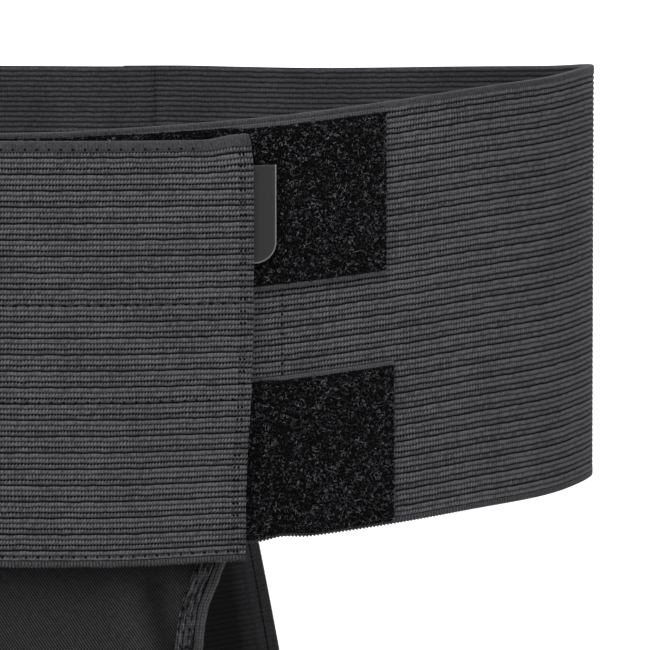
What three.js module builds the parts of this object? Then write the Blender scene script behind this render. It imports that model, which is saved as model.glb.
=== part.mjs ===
// Hernia belt: a wide waist belt of ribbed elastic webbing that closes in front with a hook-and-loop
// flap. A twill pouch hangs from its front, runs between the legs and joins a ribbed rear panel at
// its back. Millimetres. +X is the viewer's right, -Y is the front and +Z is up. Distances along the
// belt start at the front centre and grow to the right. The origin is the waist opening's middle,
// level with the flap's.
import * as THREE from "three";

// Waist line: the middle of the belt's wall from above, an oval whose exponent is 2 for an ellipse.
const WAIST_HALF_WIDTH = 165;
const WAIST_HALF_DEPTH = 110;
const WAIST_SQUARENESS = 2.3;
const WAIST_STEPS = 42;

// Ribbed elastic webbing of the belt and the rear panel.
const WEBBING_WIDTH = 130;
const WEBBING_THICKNESS = 2;
const RIB_PITCH = 5;
const GROOVE_DEPTH = 0.5;

// Gap between layers that are sewn or pressed together.
const LAYER_GAP = 0.3;

// Closure in front: the flap lies on the underlap, which passes the front centre under it.
const FLAP_PAST_CENTRE = 58.4;
const UNDERLAP_PAST_CENTRE = 62;
const FLAP_LIFT_LENGTH = 34;
const LIFT_CLEARANCE = 3;
const TAPE_BEVEL = 0.4;

// Loop patches on the underlap and hook tapes under the flap, set in from the webbing's upper or
// lower edge.
const UPPER_LOOP_WIDTH = 51.2;
const LOWER_LOOP_WIDTH = 49.5;
const LOOP_THICKNESS = 1.8;
const UPPER_LOOP_PAST_CENTRE = 101;
const LOWER_LOOP_PAST_CENTRE = 103.6;
const LOOP_END_INSET = 6;
const UPPER_LOOP_INSET = 1.5;
const LOWER_LOOP_INSET = 1;
const HOOK_WIDTH = 50;
const HOOK_THICKNESS = 1.4;
const HOOK_LENGTH = 85;
const HOOK_END_INSET = 8.5;
const UPPER_HOOK_INSET = 1.3;
const LOWER_HOOK_INSET = 3;

// Seam in the back, right of the back centre, where the right webbing's end lies outside the left one's.
const SEAM_FROM_BACK_CENTRE = 25;
const SEAM_OVERLAP = 10;
const SEAM_LIFT_LENGTH = 24;

// Height of the belt's middle above the flap's, as a share of SIDE_RISE, at shares of the girth from the
// front centre. Shares below 0 and above 1 are the two ends that lie on each other in front.
const SIDE_RISE = 14;
const RISE_ROWS = [
  { girth: -0.1, rise: 0.02 },
  { girth: 0.0, rise: 0.13 },
  { girth: 0.02, rise: 0.2 },
  { girth: 0.07, rise: 0.415 },
  { girth: 0.115, rise: 0.68 },
  { girth: 0.15, rise: 0.87 },
  { girth: 0.185, rise: 0.94 },
  { girth: 0.22, rise: 0.97 },
  { girth: 0.265, rise: 0.76 },
  { girth: 0.315, rise: 0.43 },
  { girth: 0.375, rise: 0.165 },
  { girth: 0.415, rise: 0.06 },
  { girth: 0.455, rise: 0.055 },
  { girth: 0.5, rise: 0.04 },
  { girth: 0.6, rise: 0.14 },
  { girth: 0.75, rise: 0.6 },
  { girth: 0.86, rise: 0.22 },
  { girth: 0.94, rise: 0.0 },
  { girth: 1.1, rise: 0.0 },
];

// Side label: a folded satin tape with one rounded corner, held under the flap's end.
const LABEL_SHOWN = 7.3;
const LABEL_HELD = 6;
const LABEL_HEIGHT = 30;
const LABEL_THICKNESS = 0.8;
const LABEL_CORNER = 6.5;
const LABEL_TOP_INSET = 8.2;
const LABEL_CORNER_STEPS = 5;

// Rear panel: a length of the webbing spread like a fan, so that its hemmed sides flare and its ribs
// bow down.
const REAR_TOP_HALF_WIDTH = 50;
const REAR_FLARE_DEG = 14;
const REAR_LEAN_DEG = 10;
const REAR_OVERLAP = 12;
const REAR_HEM_WIDTH = 5;
const REAR_HEM_EXTRA = 1.4;
const REAR_COLUMNS = 8;

// Pouch: the twill strip from the belt's front, between the legs, to the rear panel.
const POUCH_THICKNESS = 1.2;
const POUCH_TOP_HALF_WIDTH = 50;
const POUCH_OVERLAP = 12;
const POUCH_REAR_OVERLAP = 12;
const POUCH_REAR_GAP = 0.8;
const POUCH_BLEND_LENGTH = 50;
const CROTCH_DROP = 250;
const POUCH_STEPS = 40;
const POUCH_COLUMNS = 8;
const FOLD_DEPTH = 2.2;

// Middle line of the pouch between its two sewn ends: depth from the waist's middle as a share of
// WAIST_HALF_DEPTH, back positive, and drop below it as a share of CROTCH_DROP.
const POUCH_LINE_ROWS = [
  { depth: -1.0, drop: 0.38 },
  { depth: -1.01, drop: 0.52 },
  { depth: -0.93, drop: 0.7 },
  { depth: -0.71, drop: 0.87 },
  { depth: -0.36, drop: 0.975 },
  { depth: 0.0, drop: 1.0 },
  { depth: 0.34, drop: 0.96 },
  { depth: 0.56, drop: 0.87 },
];

// Half width of the pouch with its bindings as a share of POUCH_TOP_HALF_WIDTH, and how strongly it
// is cupped, as the angle in radians that half of it turns through, at shares of its length from the
// front end.
const POUCH_WIDTH_ROWS = [
  { along: 0.0, half: 1.1, cup: 0.3 },
  { along: 0.023, half: 1.055, cup: 0.3 },
  { along: 0.045, half: 0.995, cup: 0.35 },
  { along: 0.071, half: 0.925, cup: 0.42 },
  { along: 0.12, half: 0.887, cup: 0.62 },
  { along: 0.2, half: 0.845, cup: 0.9 },
  { along: 0.3, half: 0.73, cup: 1.05 },
  { along: 0.42, half: 0.58, cup: 0.95 },
  { along: 0.58, half: 0.5, cup: 0.6 },
  { along: 0.78, half: 0.52, cup: 0.35 },
  { along: 1.0, half: 0.6, cup: 0.2 },
];

// Soft folds of the twill: place across and half spread as shares of the half width, depth as a share of
// FOLD_DEPTH, inwards positive, and the shares of the pouch's length between which each fold shows.
const FOLD_ROWS = [
  { across: 0.64, spread: 0.17, depth: 1.0, from: 0.03, to: 0.3 },
  { across: 0.2, spread: 0.24, depth: -0.5, from: 0.06, to: 0.34 },
  { across: -0.3, spread: 0.2, depth: 0.8, from: 0.05, to: 0.36 },
  { across: -0.7, spread: 0.16, depth: 0.7, from: 0.04, to: 0.24 },
];

// Gathered elastic binding folded over each leg edge of the pouch.
const BINDING_WIDTH = 8;
const BINDING_WALL = 0.9;
const BINDING_CLEARANCE = 0.4;
const GATHER_DEPTH = 0.5;

const BLACK = 0x2b2b2e;
const PILE_BLACK = 0x17171a;
const TWILL_BLACK = 0x242426;
const LABEL_GREY = 0x5a5a5c;

// Value of a table's column at a place between its rows, on a smooth curve through them.
function smoothValue(rows, placeColumn, valueColumn, place) {
  const row = Math.max(0, rows.slice(1, -1).filter((r) => r[placeColumn] <= place).length);
  const at = (i) => rows[THREE.MathUtils.clamp(i, 0, rows.length - 1)];
  const rate = (i) => {
    const run = at(i + 1)[placeColumn] - at(i - 1)[placeColumn];
    return (at(i + 1)[valueColumn] - at(i - 1)[valueColumn]) / run;
  };
  const span = at(row + 1)[placeColumn] - at(row)[placeColumn];
  const t = THREE.MathUtils.clamp((place - at(row)[placeColumn]) / span, 0, 1);
  const start = at(row)[valueColumn] * (1 + 2 * t) * (1 - t) ** 2 + rate(row) * span * t * (1 - t) ** 2;
  const end = at(row + 1)[valueColumn] * t * t * (3 - 2 * t) + rate(row + 1) * span * t * t * (t - 1);
  return start + end;
}

// Corners of the waist line at equal steps, each with the direction that points out of the belt, and
// its girth.
function waistLine() {
  const fineSteps = WAIST_STEPS * 40;
  const fine = Array.from({ length: fineSteps + 1 }, (_, i) => {
    const angle = (i / fineSteps) * 2 * Math.PI;
    const across = Math.abs(Math.sin(angle) / WAIST_HALF_WIDTH) ** WAIST_SQUARENESS;
    const deep = Math.abs(Math.cos(angle) / WAIST_HALF_DEPTH) ** WAIST_SQUARENESS;
    const reach = (across + deep) ** (-1 / WAIST_SQUARENESS);
    return new THREE.Vector2(reach * Math.sin(angle), -reach * Math.cos(angle));
  });
  const lengths = [0];
  for (let i = 1; i < fine.length; i++) {
    lengths.push(lengths[i - 1] + fine[i].distanceTo(fine[i - 1]));
  }
  const girth = lengths[fineSteps];
  const corners = [];
  for (let step = 0; step < WAIST_STEPS; step++) {
    const near = lengths.findIndex((length) => length >= (step / WAIST_STEPS) * girth);
    const before = fine[(near + fineSteps - 1) % fineSteps];
    const after = fine[(near + 1) % fineSteps];
    const out = new THREE.Vector2(after.y - before.y, before.x - after.x).normalize();
    corners.push({ place: fine[near], out });
  }
  return { corners, girth };
}

const WAIST = waistLine();
const BACK_CENTRE = WAIST.girth / 2;
const WAIST_STEP = WAIST.girth / WAIST_STEPS;

// Point of a layer of the belt: at a distance along the waist line, an offset outwards from it and a
// height.
function waistPoint(along, offset, height) {
  const step = Math.floor(along / WAIST_STEP);
  const t = along / WAIST_STEP - step;
  const corner = (i) => WAIST.corners[((i % WAIST_STEPS) + WAIST_STEPS) % WAIST_STEPS];
  const place = corner(step).place.clone().lerp(corner(step + 1).place, t);
  const out = corner(step).out.clone().lerp(corner(step + 1).out, t);
  return new THREE.Vector3(place.x + out.x * offset, place.y + out.y * offset, height);
}

// Places along the waist line where a piece has a section: its ends, the line's corners between them
// and extra ones.
function waistStations(from, to, extra = []) {
  const stations = [from, to, ...extra];
  for (let step = Math.ceil(from / WAIST_STEP); step * WAIST_STEP < to; step++) {
    const corner = step * WAIST_STEP;
    if (stations.every((station) => Math.abs(station - corner) > 1)) stations.push(corner);
  }
  return stations.sort((a, b) => a - b);
}

function riseAt(along) {
  return SIDE_RISE * smoothValue(RISE_ROWS, "girth", "rise", along / WAIST.girth);
}

// A closed body lofted through sections, each a loop of as many points. The outline is that loop in
// its own plane.
function loftedBody(sections, outline) {
  const count = outline.length;
  const faces = [];
  for (let i = 0; i < sections.length - 1; i++) {
    for (let j = 0; j < count; j++) {
      const a = i * count + j;
      const b = i * count + ((j + 1) % count);
      faces.push([a, a + count, b + count], [a, b + count, b]);
    }
  }
  const end = (sections.length - 1) * count;
  const clockwise = THREE.ShapeUtils.isClockWise(outline);
  for (const triangle of THREE.ShapeUtils.triangulateShape(outline, [])) {
    const sameWay = THREE.ShapeUtils.isClockWise(triangle.map((i) => outline[i])) === clockwise;
    const [a, b, c] = sameWay ? triangle : [...triangle].reverse();
    faces.push([a, b, c], [end + c, end + b, end + a]);
  }
  const points = sections.flat();
  const volume = faces.reduce((sum, [a, b, c]) => {
    return sum + points[a].dot(new THREE.Vector3().crossVectors(points[b], points[c]));
  }, 0);
  const outward = volume < 0 ? faces.map((face) => [...face].reverse()) : faces;
  const geometry = new THREE.BufferGeometry().setFromPoints(points);
  geometry.setIndex(outward.flat());
  geometry.computeVertexNormals();
  return geometry;
}

function fabricMesh(name, geometry, color, roughness) {
  const mesh = new THREE.Mesh(geometry, new THREE.MeshStandardMaterial({ color, roughness, metalness: 0 }));
  mesh.name = name;
  return mesh;
}

// Section of the webbing: x is outwards from its middle, y is up from its middle, with the ribs on
// its outer face.
function webbingOutline() {
  const ribs = Math.round(WEBBING_WIDTH / RIB_PITCH);
  const face = WEBBING_THICKNESS / 2;
  const outline = [];
  for (let half = 0; half <= 2 * ribs; half++) {
    const depth = half % 2 === 0 ? GROOVE_DEPTH : 0;
    outline.push(new THREE.Vector2(face - depth, (half / (2 * ribs) - 0.5) * WEBBING_WIDTH));
  }
  outline.push(new THREE.Vector2(-face, WEBBING_WIDTH / 2), new THREE.Vector2(-face, -WEBBING_WIDTH / 2));
  return outline;
}

// Section of a flat tape whose long edges are bevelled: x is outwards from its inner face, y is up
// from its middle.
function tapeOutline(width, thickness) {
  const half = width / 2;
  return [
    new THREE.Vector2(0, half - TAPE_BEVEL),
    new THREE.Vector2(0, TAPE_BEVEL - half),
    new THREE.Vector2(TAPE_BEVEL, -half),
    new THREE.Vector2(thickness - TAPE_BEVEL, -half),
    new THREE.Vector2(thickness, TAPE_BEVEL - half),
    new THREE.Vector2(thickness, half - TAPE_BEVEL),
    new THREE.Vector2(thickness - TAPE_BEVEL, half),
    new THREE.Vector2(TAPE_BEVEL, half),
  ];
}

// Offsets outwards from the underlap's middle of the layers of the closure, from the belt's wall to
// the flap.
const LOOP_OFFSET = WEBBING_THICKNESS / 2 + LAYER_GAP;
const HOOK_OFFSET = LOOP_OFFSET + LOOP_THICKNESS + LAYER_GAP;
const FLAP_INNER_OFFSET = HOOK_OFFSET + HOOK_THICKNESS + LAYER_GAP;
const FLAP_OFFSET = FLAP_INNER_OFFSET + WEBBING_THICKNESS / 2;
const LABEL_OFFSET = FLAP_INNER_OFFSET - LAYER_GAP - LABEL_THICKNESS;

const SEAM = BACK_CENTRE - SEAM_FROM_BACK_CENTRE;
const FLAP_END = WAIST.girth + FLAP_PAST_CENTRE;
const FLAP_LIFTED = WAIST.girth - UNDERLAP_PAST_CENTRE - LIFT_CLEARANCE;
const RIGHT_END_LIFTED = SEAM - LIFT_CLEARANCE;

// A layer that follows the waist line between two places. Its lift is its offset outwards at each of
// them.
function waistLayer(from, to, outline, liftAt, heightAt, extra) {
  const sections = waistStations(from, to, extra).map((along) => {
    return outline.map((point) => waistPoint(along, liftAt(along) + point.x, heightAt(along) + point.y));
  });
  return loftedBody(sections, outline);
}

function thirdsOf(from, to) {
  return [0, 1 / 3, 2 / 3, 1].map((share) => from + share * (to - from));
}

function beltRight() {
  const liftStart = RIGHT_END_LIFTED - SEAM_LIFT_LENGTH;
  const endOffset = WEBBING_THICKNESS + LAYER_GAP;
  const liftAt = (along) => endOffset * THREE.MathUtils.smoothstep(along, liftStart, RIGHT_END_LIFTED);
  const extra = thirdsOf(liftStart, RIGHT_END_LIFTED);
  return waistLayer(-UNDERLAP_PAST_CENTRE, SEAM + SEAM_OVERLAP, webbingOutline(), liftAt, riseAt, extra);
}

function beltLeft() {
  const liftStart = FLAP_LIFTED - FLAP_LIFT_LENGTH;
  const liftAt = (along) => FLAP_OFFSET * THREE.MathUtils.smoothstep(along, liftStart, FLAP_LIFTED);
  return waistLayer(SEAM, FLAP_END, webbingOutline(), liftAt, riseAt, thirdsOf(liftStart, FLAP_LIFTED));
}

function loopPatch(middleHeight, width, pastCentre) {
  const outline = tapeOutline(width, LOOP_THICKNESS);
  const from = LOOP_END_INSET - UNDERLAP_PAST_CENTRE;
  const heightAt = (along) => riseAt(along) + middleHeight;
  return waistLayer(from, pastCentre, outline, () => LOOP_OFFSET, heightAt);
}

function hookTape(middleHeight) {
  const outline = tapeOutline(HOOK_WIDTH, HOOK_THICKNESS);
  const to = FLAP_END - HOOK_END_INSET;
  const heightAt = (along) => riseAt(along) + middleHeight;
  return waistLayer(to - HOOK_LENGTH, to, outline, () => HOOK_OFFSET, heightAt);
}

// The label's outline from the front: square where it is held, with a rounded lower corner at its
// free edge.
function sideLabel() {
  const top = WEBBING_WIDTH / 2 - LABEL_TOP_INSET;
  const bottom = top - LABEL_HEIGHT;
  const freeEdge = FLAP_END + LABEL_SHOWN;
  const profile = [{ along: FLAP_END - LABEL_HELD, bottom }];
  for (let step = 0; step <= LABEL_CORNER_STEPS; step++) {
    const angle = (step / LABEL_CORNER_STEPS) * (Math.PI / 2);
    const along = freeEdge - LABEL_CORNER * (1 - Math.sin(angle));
    profile.push({ along, bottom: bottom + LABEL_CORNER * (1 - Math.cos(angle)) });
  }
  const outline = [
    new THREE.Vector2(0, 0),
    new THREE.Vector2(LABEL_THICKNESS, 0),
    new THREE.Vector2(LABEL_THICKNESS, 1),
    new THREE.Vector2(0, 1),
  ];
  const sections = profile.map((row) => {
    const height = (share) => riseAt(row.along) + row.bottom + share * (top - row.bottom);
    return outline.map((point) => waistPoint(row.along, LABEL_OFFSET + point.x, height(point.y)));
  });
  return loftedBody(sections, outline);
}

// Rear panel: its offset inwards from the waist line at a height, where it leans forward below the belt.
const REAR_TOP = REAR_OVERLAP - WEBBING_WIDTH / 2;
const REAR_SEWN_OFFSET = WEBBING_THICKNESS + LAYER_GAP;
function rearOffset(height) {
  const below = Math.max(0, -WEBBING_WIDTH / 2 - height);
  return -REAR_SEWN_OFFSET - below * Math.tan(THREE.MathUtils.degToRad(REAR_LEAN_DEG));
}

function rearPanel() {
  const flare = THREE.MathUtils.degToRad(REAR_FLARE_DEG);
  const topRadius = REAR_TOP_HALF_WIDTH / Math.sin(flare);
  const outline = webbingOutline();
  const hemShare = REAR_HEM_WIDTH / REAR_TOP_HALF_WIDTH;
  const columns = [-1, -1 + hemShare];
  for (let column = 1; column < REAR_COLUMNS; column++) {
    columns.push((1 - hemShare) * (2 * (column / REAR_COLUMNS) - 1));
  }
  columns.push(1 - hemShare, 1);
  const sections = columns.map((column) => {
    const hem = Math.abs(column) > 1 - hemShare / 2 ? REAR_HEM_EXTRA : 0;
    return outline.map((point) => {
      const radius = topRadius + WEBBING_WIDTH / 2 - point.y;
      const across = radius * Math.sin(column * flare);
      const height = REAR_TOP + topRadius - radius * Math.cos(column * flare);
      const offset = point.x < 0 ? point.x - hem : point.x;
      return waistPoint(BACK_CENTRE - across, rearOffset(height) + offset, height);
    });
  });
  return loftedBody(sections, outline);
}

// Pouch: the offsets inwards of its middle where it is sewn inside the underlap and inside the rear
// panel.
const BINDING_HALF_THICKNESS = POUCH_THICKNESS / 2 + BINDING_CLEARANCE + BINDING_WALL;
const POUCH_FRONT_OFFSET = -WEBBING_THICKNESS / 2 - LAYER_GAP - BINDING_HALF_THICKNESS - GATHER_DEPTH;
const POUCH_REAR_INSET = WEBBING_THICKNESS / 2 + POUCH_REAR_GAP + BINDING_HALF_THICKNESS + GATHER_DEPTH;
const POUCH_TOP = POUCH_OVERLAP - WEBBING_WIDTH / 2;
const REAR_BOTTOM = REAR_TOP - WEBBING_WIDTH;

function frontSewnPoint(across, height) {
  return waistPoint(across, POUCH_FRONT_OFFSET, height);
}

function rearSewnPoint(across, height) {
  return waistPoint(BACK_CENTRE - across, rearOffset(height) - POUCH_REAR_INSET, height);
}

const POUCH_LINE = new THREE.CatmullRomCurve3(
  [
    frontSewnPoint(0, POUCH_TOP),
    frontSewnPoint(0, -WEBBING_WIDTH / 2),
    ...POUCH_LINE_ROWS.map((row) => {
      return new THREE.Vector3(0, row.depth * WAIST_HALF_DEPTH, -row.drop * CROTCH_DROP);
    }),
    rearSewnPoint(0, REAR_BOTTOM),
    rearSewnPoint(0, REAR_BOTTOM + POUCH_REAR_OVERLAP),
  ],
  false,
  "centripetal",
);
const POUCH_LENGTH = POUCH_LINE.getLength();

function foldDepth(share, across) {
  return FOLD_ROWS.reduce((sum, row) => {
    const shows = THREE.MathUtils.clamp((share - row.from) / (row.to - row.from), 0, 1);
    const place = THREE.MathUtils.clamp(Math.abs(across - row.across) / row.spread, 0, 1);
    const bell = (1 + Math.cos(Math.PI * place)) / 2;
    return sum + row.depth * FOLD_DEPTH * Math.sin(Math.PI * shows) * bell;
  }, 0);
}

// Point of the pouch's middle layer: at a share of its length and a share of the half width across.
// It follows the belt and the rear panel at its ends and is cupped between them.
function pouchPoint(share, across) {
  const half = POUCH_TOP_HALF_WIDTH * smoothValue(POUCH_WIDTH_ROWS, "along", "half", share);
  const edge = half - BINDING_WALL - BINDING_CLEARANCE;
  const turn = smoothValue(POUCH_WIDTH_ROWS, "along", "cup", share);
  const centre = POUCH_LINE.getPointAt(share);
  const tangent = POUCH_LINE.getTangentAt(share);
  const out = new THREE.Vector3(0, tangent.z, -tangent.y);
  const radius = edge / turn;
  const cupped = centre.clone().addScaledVector(out, radius * (Math.cos(across * turn) - 1));
  cupped.x += radius * Math.sin(across * turn);
  cupped.addScaledVector(out, -foldDepth(share, across));
  const fromFront = share * POUCH_LENGTH - POUCH_OVERLAP;
  const fromRear = (1 - share) * POUCH_LENGTH - POUCH_REAR_OVERLAP;
  const front = 1 - THREE.MathUtils.smoothstep(fromFront, 0, POUCH_BLEND_LENGTH);
  const rear = 1 - THREE.MathUtils.smoothstep(fromRear, 0, POUCH_BLEND_LENGTH);
  cupped.lerp(frontSewnPoint(across * edge, centre.z), front);
  return cupped.lerp(rearSewnPoint(across * edge, centre.z), rear);
}

// One section of the pouch: its middle layer's points from the left edge to the right, and the outward
// direction at each. The outermost facet at each side is flat and as wide as the binding on it.
function pouchSection(share) {
  const half = POUCH_TOP_HALF_WIDTH * smoothValue(POUCH_WIDTH_ROWS, "along", "half", share);
  const flat = BINDING_WIDTH / (half - BINDING_WALL - BINDING_CLEARANCE);
  const places = [-1];
  for (let column = 0; column <= POUCH_COLUMNS; column++) {
    places.push((1 - flat) * (2 * (column / POUCH_COLUMNS) - 1));
  }
  places.push(1);
  const points = places.map((place) => pouchPoint(share, place));
  const along = POUCH_LINE.getTangentAt(share);
  const last = places.length - 1;
  const outs = places.map((_, i) => {
    const before = i <= 1 ? 0 : i - 1;
    const after = i >= last - 1 ? last : i + 1;
    const from = i >= last - 1 ? last - 1 : before;
    const to = i <= 1 ? 1 : after;
    const across = points[to].clone().sub(points[from]);
    return across.cross(along).normalize().negate();
  });
  return { points, outs };
}

const POUCH_SECTIONS = Array.from({ length: POUCH_STEPS + 1 }, (_, i) => pouchSection(i / POUCH_STEPS));

function pouch() {
  const face = POUCH_THICKNESS / 2;
  const last = POUCH_SECTIONS[0].points.length - 1;
  const outline = [];
  for (let i = 0; i <= last; i++) outline.push(new THREE.Vector2(i, -face));
  for (let i = last; i >= 0; i--) outline.push(new THREE.Vector2(i, face));
  const sections = POUCH_SECTIONS.map(({ points, outs }) => {
    return outline.map((corner) => points[corner.x].clone().addScaledVector(outs[corner.x], corner.y));
  });
  return loftedBody(sections, outline);
}

// Section of the binding round an edge of the pouch: x is outwards past the edge, y is out of the
// pouch's face.
function bindingOutline(gather) {
  const inner = POUCH_THICKNESS / 2 + BINDING_CLEARANCE;
  const outer = inner + BINDING_WALL + gather;
  const tip = BINDING_CLEARANCE + BINDING_WALL + gather;
  return [
    new THREE.Vector2(-BINDING_WIDTH, -outer),
    new THREE.Vector2(0, -outer),
    new THREE.Vector2(tip, -inner / 2),
    new THREE.Vector2(tip, inner / 2),
    new THREE.Vector2(0, outer),
    new THREE.Vector2(-BINDING_WIDTH, outer),
    new THREE.Vector2(-BINDING_WIDTH, inner),
    new THREE.Vector2(BINDING_CLEARANCE, inner),
    new THREE.Vector2(BINDING_CLEARANCE, -inner),
    new THREE.Vector2(-BINDING_WIDTH, -inner),
  ];
}

// The corners run the same way round as the pouch's own, so that the folds of both surfaces nest.
function binding(side) {
  const outlineAt = (gather) => (side > 0 ? bindingOutline(gather).reverse() : bindingOutline(gather));
  const sections = POUCH_SECTIONS.map(({ points, outs }, i) => {
    const edge = side > 0 ? points.length - 1 : 0;
    const across = points[edge].clone().sub(points[edge - side]).normalize();
    return outlineAt(i % 2 === 0 ? 0 : GATHER_DEPTH).map((corner) => {
      const place = points[edge].clone().addScaledVector(across, corner.x);
      return place.addScaledVector(outs[edge], corner.y);
    });
  });
  return loftedBody(sections, outlineAt(0));
}

const upperLoopMiddle = WEBBING_WIDTH / 2 - UPPER_LOOP_INSET - UPPER_LOOP_WIDTH / 2;
const lowerLoopMiddle = LOWER_LOOP_INSET + LOWER_LOOP_WIDTH / 2 - WEBBING_WIDTH / 2;
const upperLoop = loopPatch(upperLoopMiddle, UPPER_LOOP_WIDTH, UPPER_LOOP_PAST_CENTRE);
const lowerLoop = loopPatch(lowerLoopMiddle, LOWER_LOOP_WIDTH, LOWER_LOOP_PAST_CENTRE);
const upperHookMiddle = WEBBING_WIDTH / 2 - UPPER_HOOK_INSET - HOOK_WIDTH / 2;
const lowerHookMiddle = LOWER_HOOK_INSET + HOOK_WIDTH / 2 - WEBBING_WIDTH / 2;

const waistBelt = new THREE.Group();
waistBelt.add(
  fabricMesh("belt_right", beltRight(), BLACK, 0.85),
  fabricMesh("belt_left", beltLeft(), BLACK, 0.85),
);

const closure = new THREE.Group();
closure.add(
  fabricMesh("loop_patch_upper", upperLoop, PILE_BLACK, 0.95),
  fabricMesh("loop_patch_lower", lowerLoop, PILE_BLACK, 0.95),
  fabricMesh("hook_tape_upper", hookTape(upperHookMiddle), PILE_BLACK, 0.7),
  fabricMesh("hook_tape_lower", hookTape(lowerHookMiddle), PILE_BLACK, 0.7),
  fabricMesh("side_label", sideLabel(), LABEL_GREY, 0.45),
);

const lowerPart = new THREE.Group();
lowerPart.add(
  fabricMesh("pouch", pouch(), TWILL_BLACK, 0.8),
  fabricMesh("binding_right", binding(1), BLACK, 0.75),
  fabricMesh("binding_left", binding(-1), BLACK, 0.75),
  fabricMesh("rear_panel", rearPanel(), BLACK, 0.85),
);

const herniaBelt = new THREE.Group();
herniaBelt.add(waistBelt, closure, lowerPart);

export default herniaBelt;
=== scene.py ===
# A hernia belt: a wide ribbed elastic waist belt closed in front by a hook-and-loop flap, with a twill pouch
# that runs between the legs to a ribbed rear panel. Lengths are in metres, except where a name or a comment
# says mm.
import math

import bpy
import numpy as np
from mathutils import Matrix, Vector


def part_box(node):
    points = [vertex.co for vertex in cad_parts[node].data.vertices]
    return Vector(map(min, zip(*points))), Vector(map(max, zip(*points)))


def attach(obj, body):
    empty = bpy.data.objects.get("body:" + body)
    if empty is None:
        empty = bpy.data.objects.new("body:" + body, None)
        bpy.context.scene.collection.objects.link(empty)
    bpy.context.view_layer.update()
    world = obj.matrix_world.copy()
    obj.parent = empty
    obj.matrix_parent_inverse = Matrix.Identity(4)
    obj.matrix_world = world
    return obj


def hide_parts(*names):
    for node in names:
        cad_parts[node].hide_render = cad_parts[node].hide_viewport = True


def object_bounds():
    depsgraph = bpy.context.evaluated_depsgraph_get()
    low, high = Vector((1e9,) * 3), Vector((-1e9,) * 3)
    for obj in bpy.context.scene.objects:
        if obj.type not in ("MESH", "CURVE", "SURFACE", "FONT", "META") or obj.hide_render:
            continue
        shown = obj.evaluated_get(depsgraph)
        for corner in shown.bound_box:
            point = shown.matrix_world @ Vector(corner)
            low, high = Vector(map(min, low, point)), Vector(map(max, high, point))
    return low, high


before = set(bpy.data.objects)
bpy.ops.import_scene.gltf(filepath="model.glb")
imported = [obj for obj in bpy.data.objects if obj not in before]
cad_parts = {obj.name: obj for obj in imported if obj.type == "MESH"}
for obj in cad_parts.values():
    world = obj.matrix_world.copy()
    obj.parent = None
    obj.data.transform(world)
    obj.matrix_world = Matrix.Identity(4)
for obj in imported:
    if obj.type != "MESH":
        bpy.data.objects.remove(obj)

cad_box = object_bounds()
MM = 0.001

# Studio. The camera looks at the closed front from a little above, as the photo does, from so far off that
# the back wall is nearly as large as the front. Large soft lamps stand round it over a pale floor just under
# the crotch.
CAMERA_AIM = Vector((0.081, -0.115, 0.0086))
CAMERA_DISTANCE = 2.7
CAMERA_ELEVATION = math.radians(7.2)
CAMERA_LENS_MM = 493.5
camera = bpy.data.objects.new("camera", bpy.data.cameras.new("camera"))
camera.data.sensor_width = 36
camera.data.lens = CAMERA_LENS_MM
camera.data.clip_end = 60
looking = Vector((0, math.cos(CAMERA_ELEVATION), -math.sin(CAMERA_ELEVATION)))
camera.location = CAMERA_AIM - CAMERA_DISTANCE * looking
camera.rotation_euler = looking.to_track_quat("-Z", "Y").to_euler()
bpy.context.collection.objects.link(camera)
bpy.context.scene.camera = camera

LAMPS = {
    "key_lamp": {"place": (-0.12, -0.7, 0.78), "size": 0.8, "power": 10.5, "aim": (0.02, -0.1, -0.05)},
    "fill_lamp": {"place": (1.6, -1.6, 1.3), "size": 1.4, "power": 15, "aim": (0, 0, -0.05)},
    "top_lamp": {"place": (0.1, -0.2, 2.2), "size": 1.2, "power": 16, "aim": (0, 0, -0.05)},
    "floor_lamp": {"place": (0, 3.0, 1.9), "size": 3.0, "power": 170, "aim": (0, 3.0, 0)},
}
for name, row in LAMPS.items():
    lamp = bpy.data.objects.new(name, bpy.data.lights.new(name, "AREA"))
    lamp.data.size = row["size"]
    lamp.data.energy = row["power"]
    lamp.location = row["place"]
    lamp.rotation_euler = (Vector(row["aim"]) - Vector(row["place"])).to_track_quat("-Z", "Y").to_euler()
    lamp.visible_camera = False
    bpy.context.collection.objects.link(lamp)

AIR_LIGHT = 0.18
studio_air = bpy.data.worlds.new("studio_air")
studio_air.use_nodes = True
backdrop = studio_air.node_tree.nodes["Background"]
backdrop.inputs["Color"].default_value = (1, 1, 1, 1)
backdrop.inputs["Strength"].default_value = AIR_LIGHT
bpy.context.scene.world = studio_air
bpy.context.scene.view_settings.view_transform = "Standard"

FLOOR_HALF_SIDE = 14
FLOOR_BELOW = 0.004
PAPER_WHITE = (0.74, 0.74, 0.74, 1)
PAPER_ROUGHNESS = 0.9
CORNER_SIGNS = ((-1, -1), (1, -1), (1, 1), (-1, 1))
floor_height = cad_box[0].z - FLOOR_BELOW
floor_corners = [(x * FLOOR_HALF_SIDE, y * FLOOR_HALF_SIDE, floor_height) for x, y in CORNER_SIGNS]
floor_mesh = bpy.data.meshes.new("floor")
floor_mesh.from_pydata(floor_corners, [], [(0, 1, 2, 3)])
studio_floor = bpy.data.objects.new("studio_floor", floor_mesh)
bpy.context.collection.objects.link(studio_floor)
paper = bpy.data.materials.new("paper")
paper.use_nodes = True
paper_shader = paper.node_tree.nodes["Principled BSDF"]
paper_shader.inputs["Base Color"].default_value = PAPER_WHITE
paper_shader.inputs["Roughness"].default_value = PAPER_ROUGHNESS
floor_mesh.materials.append(paper)


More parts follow.
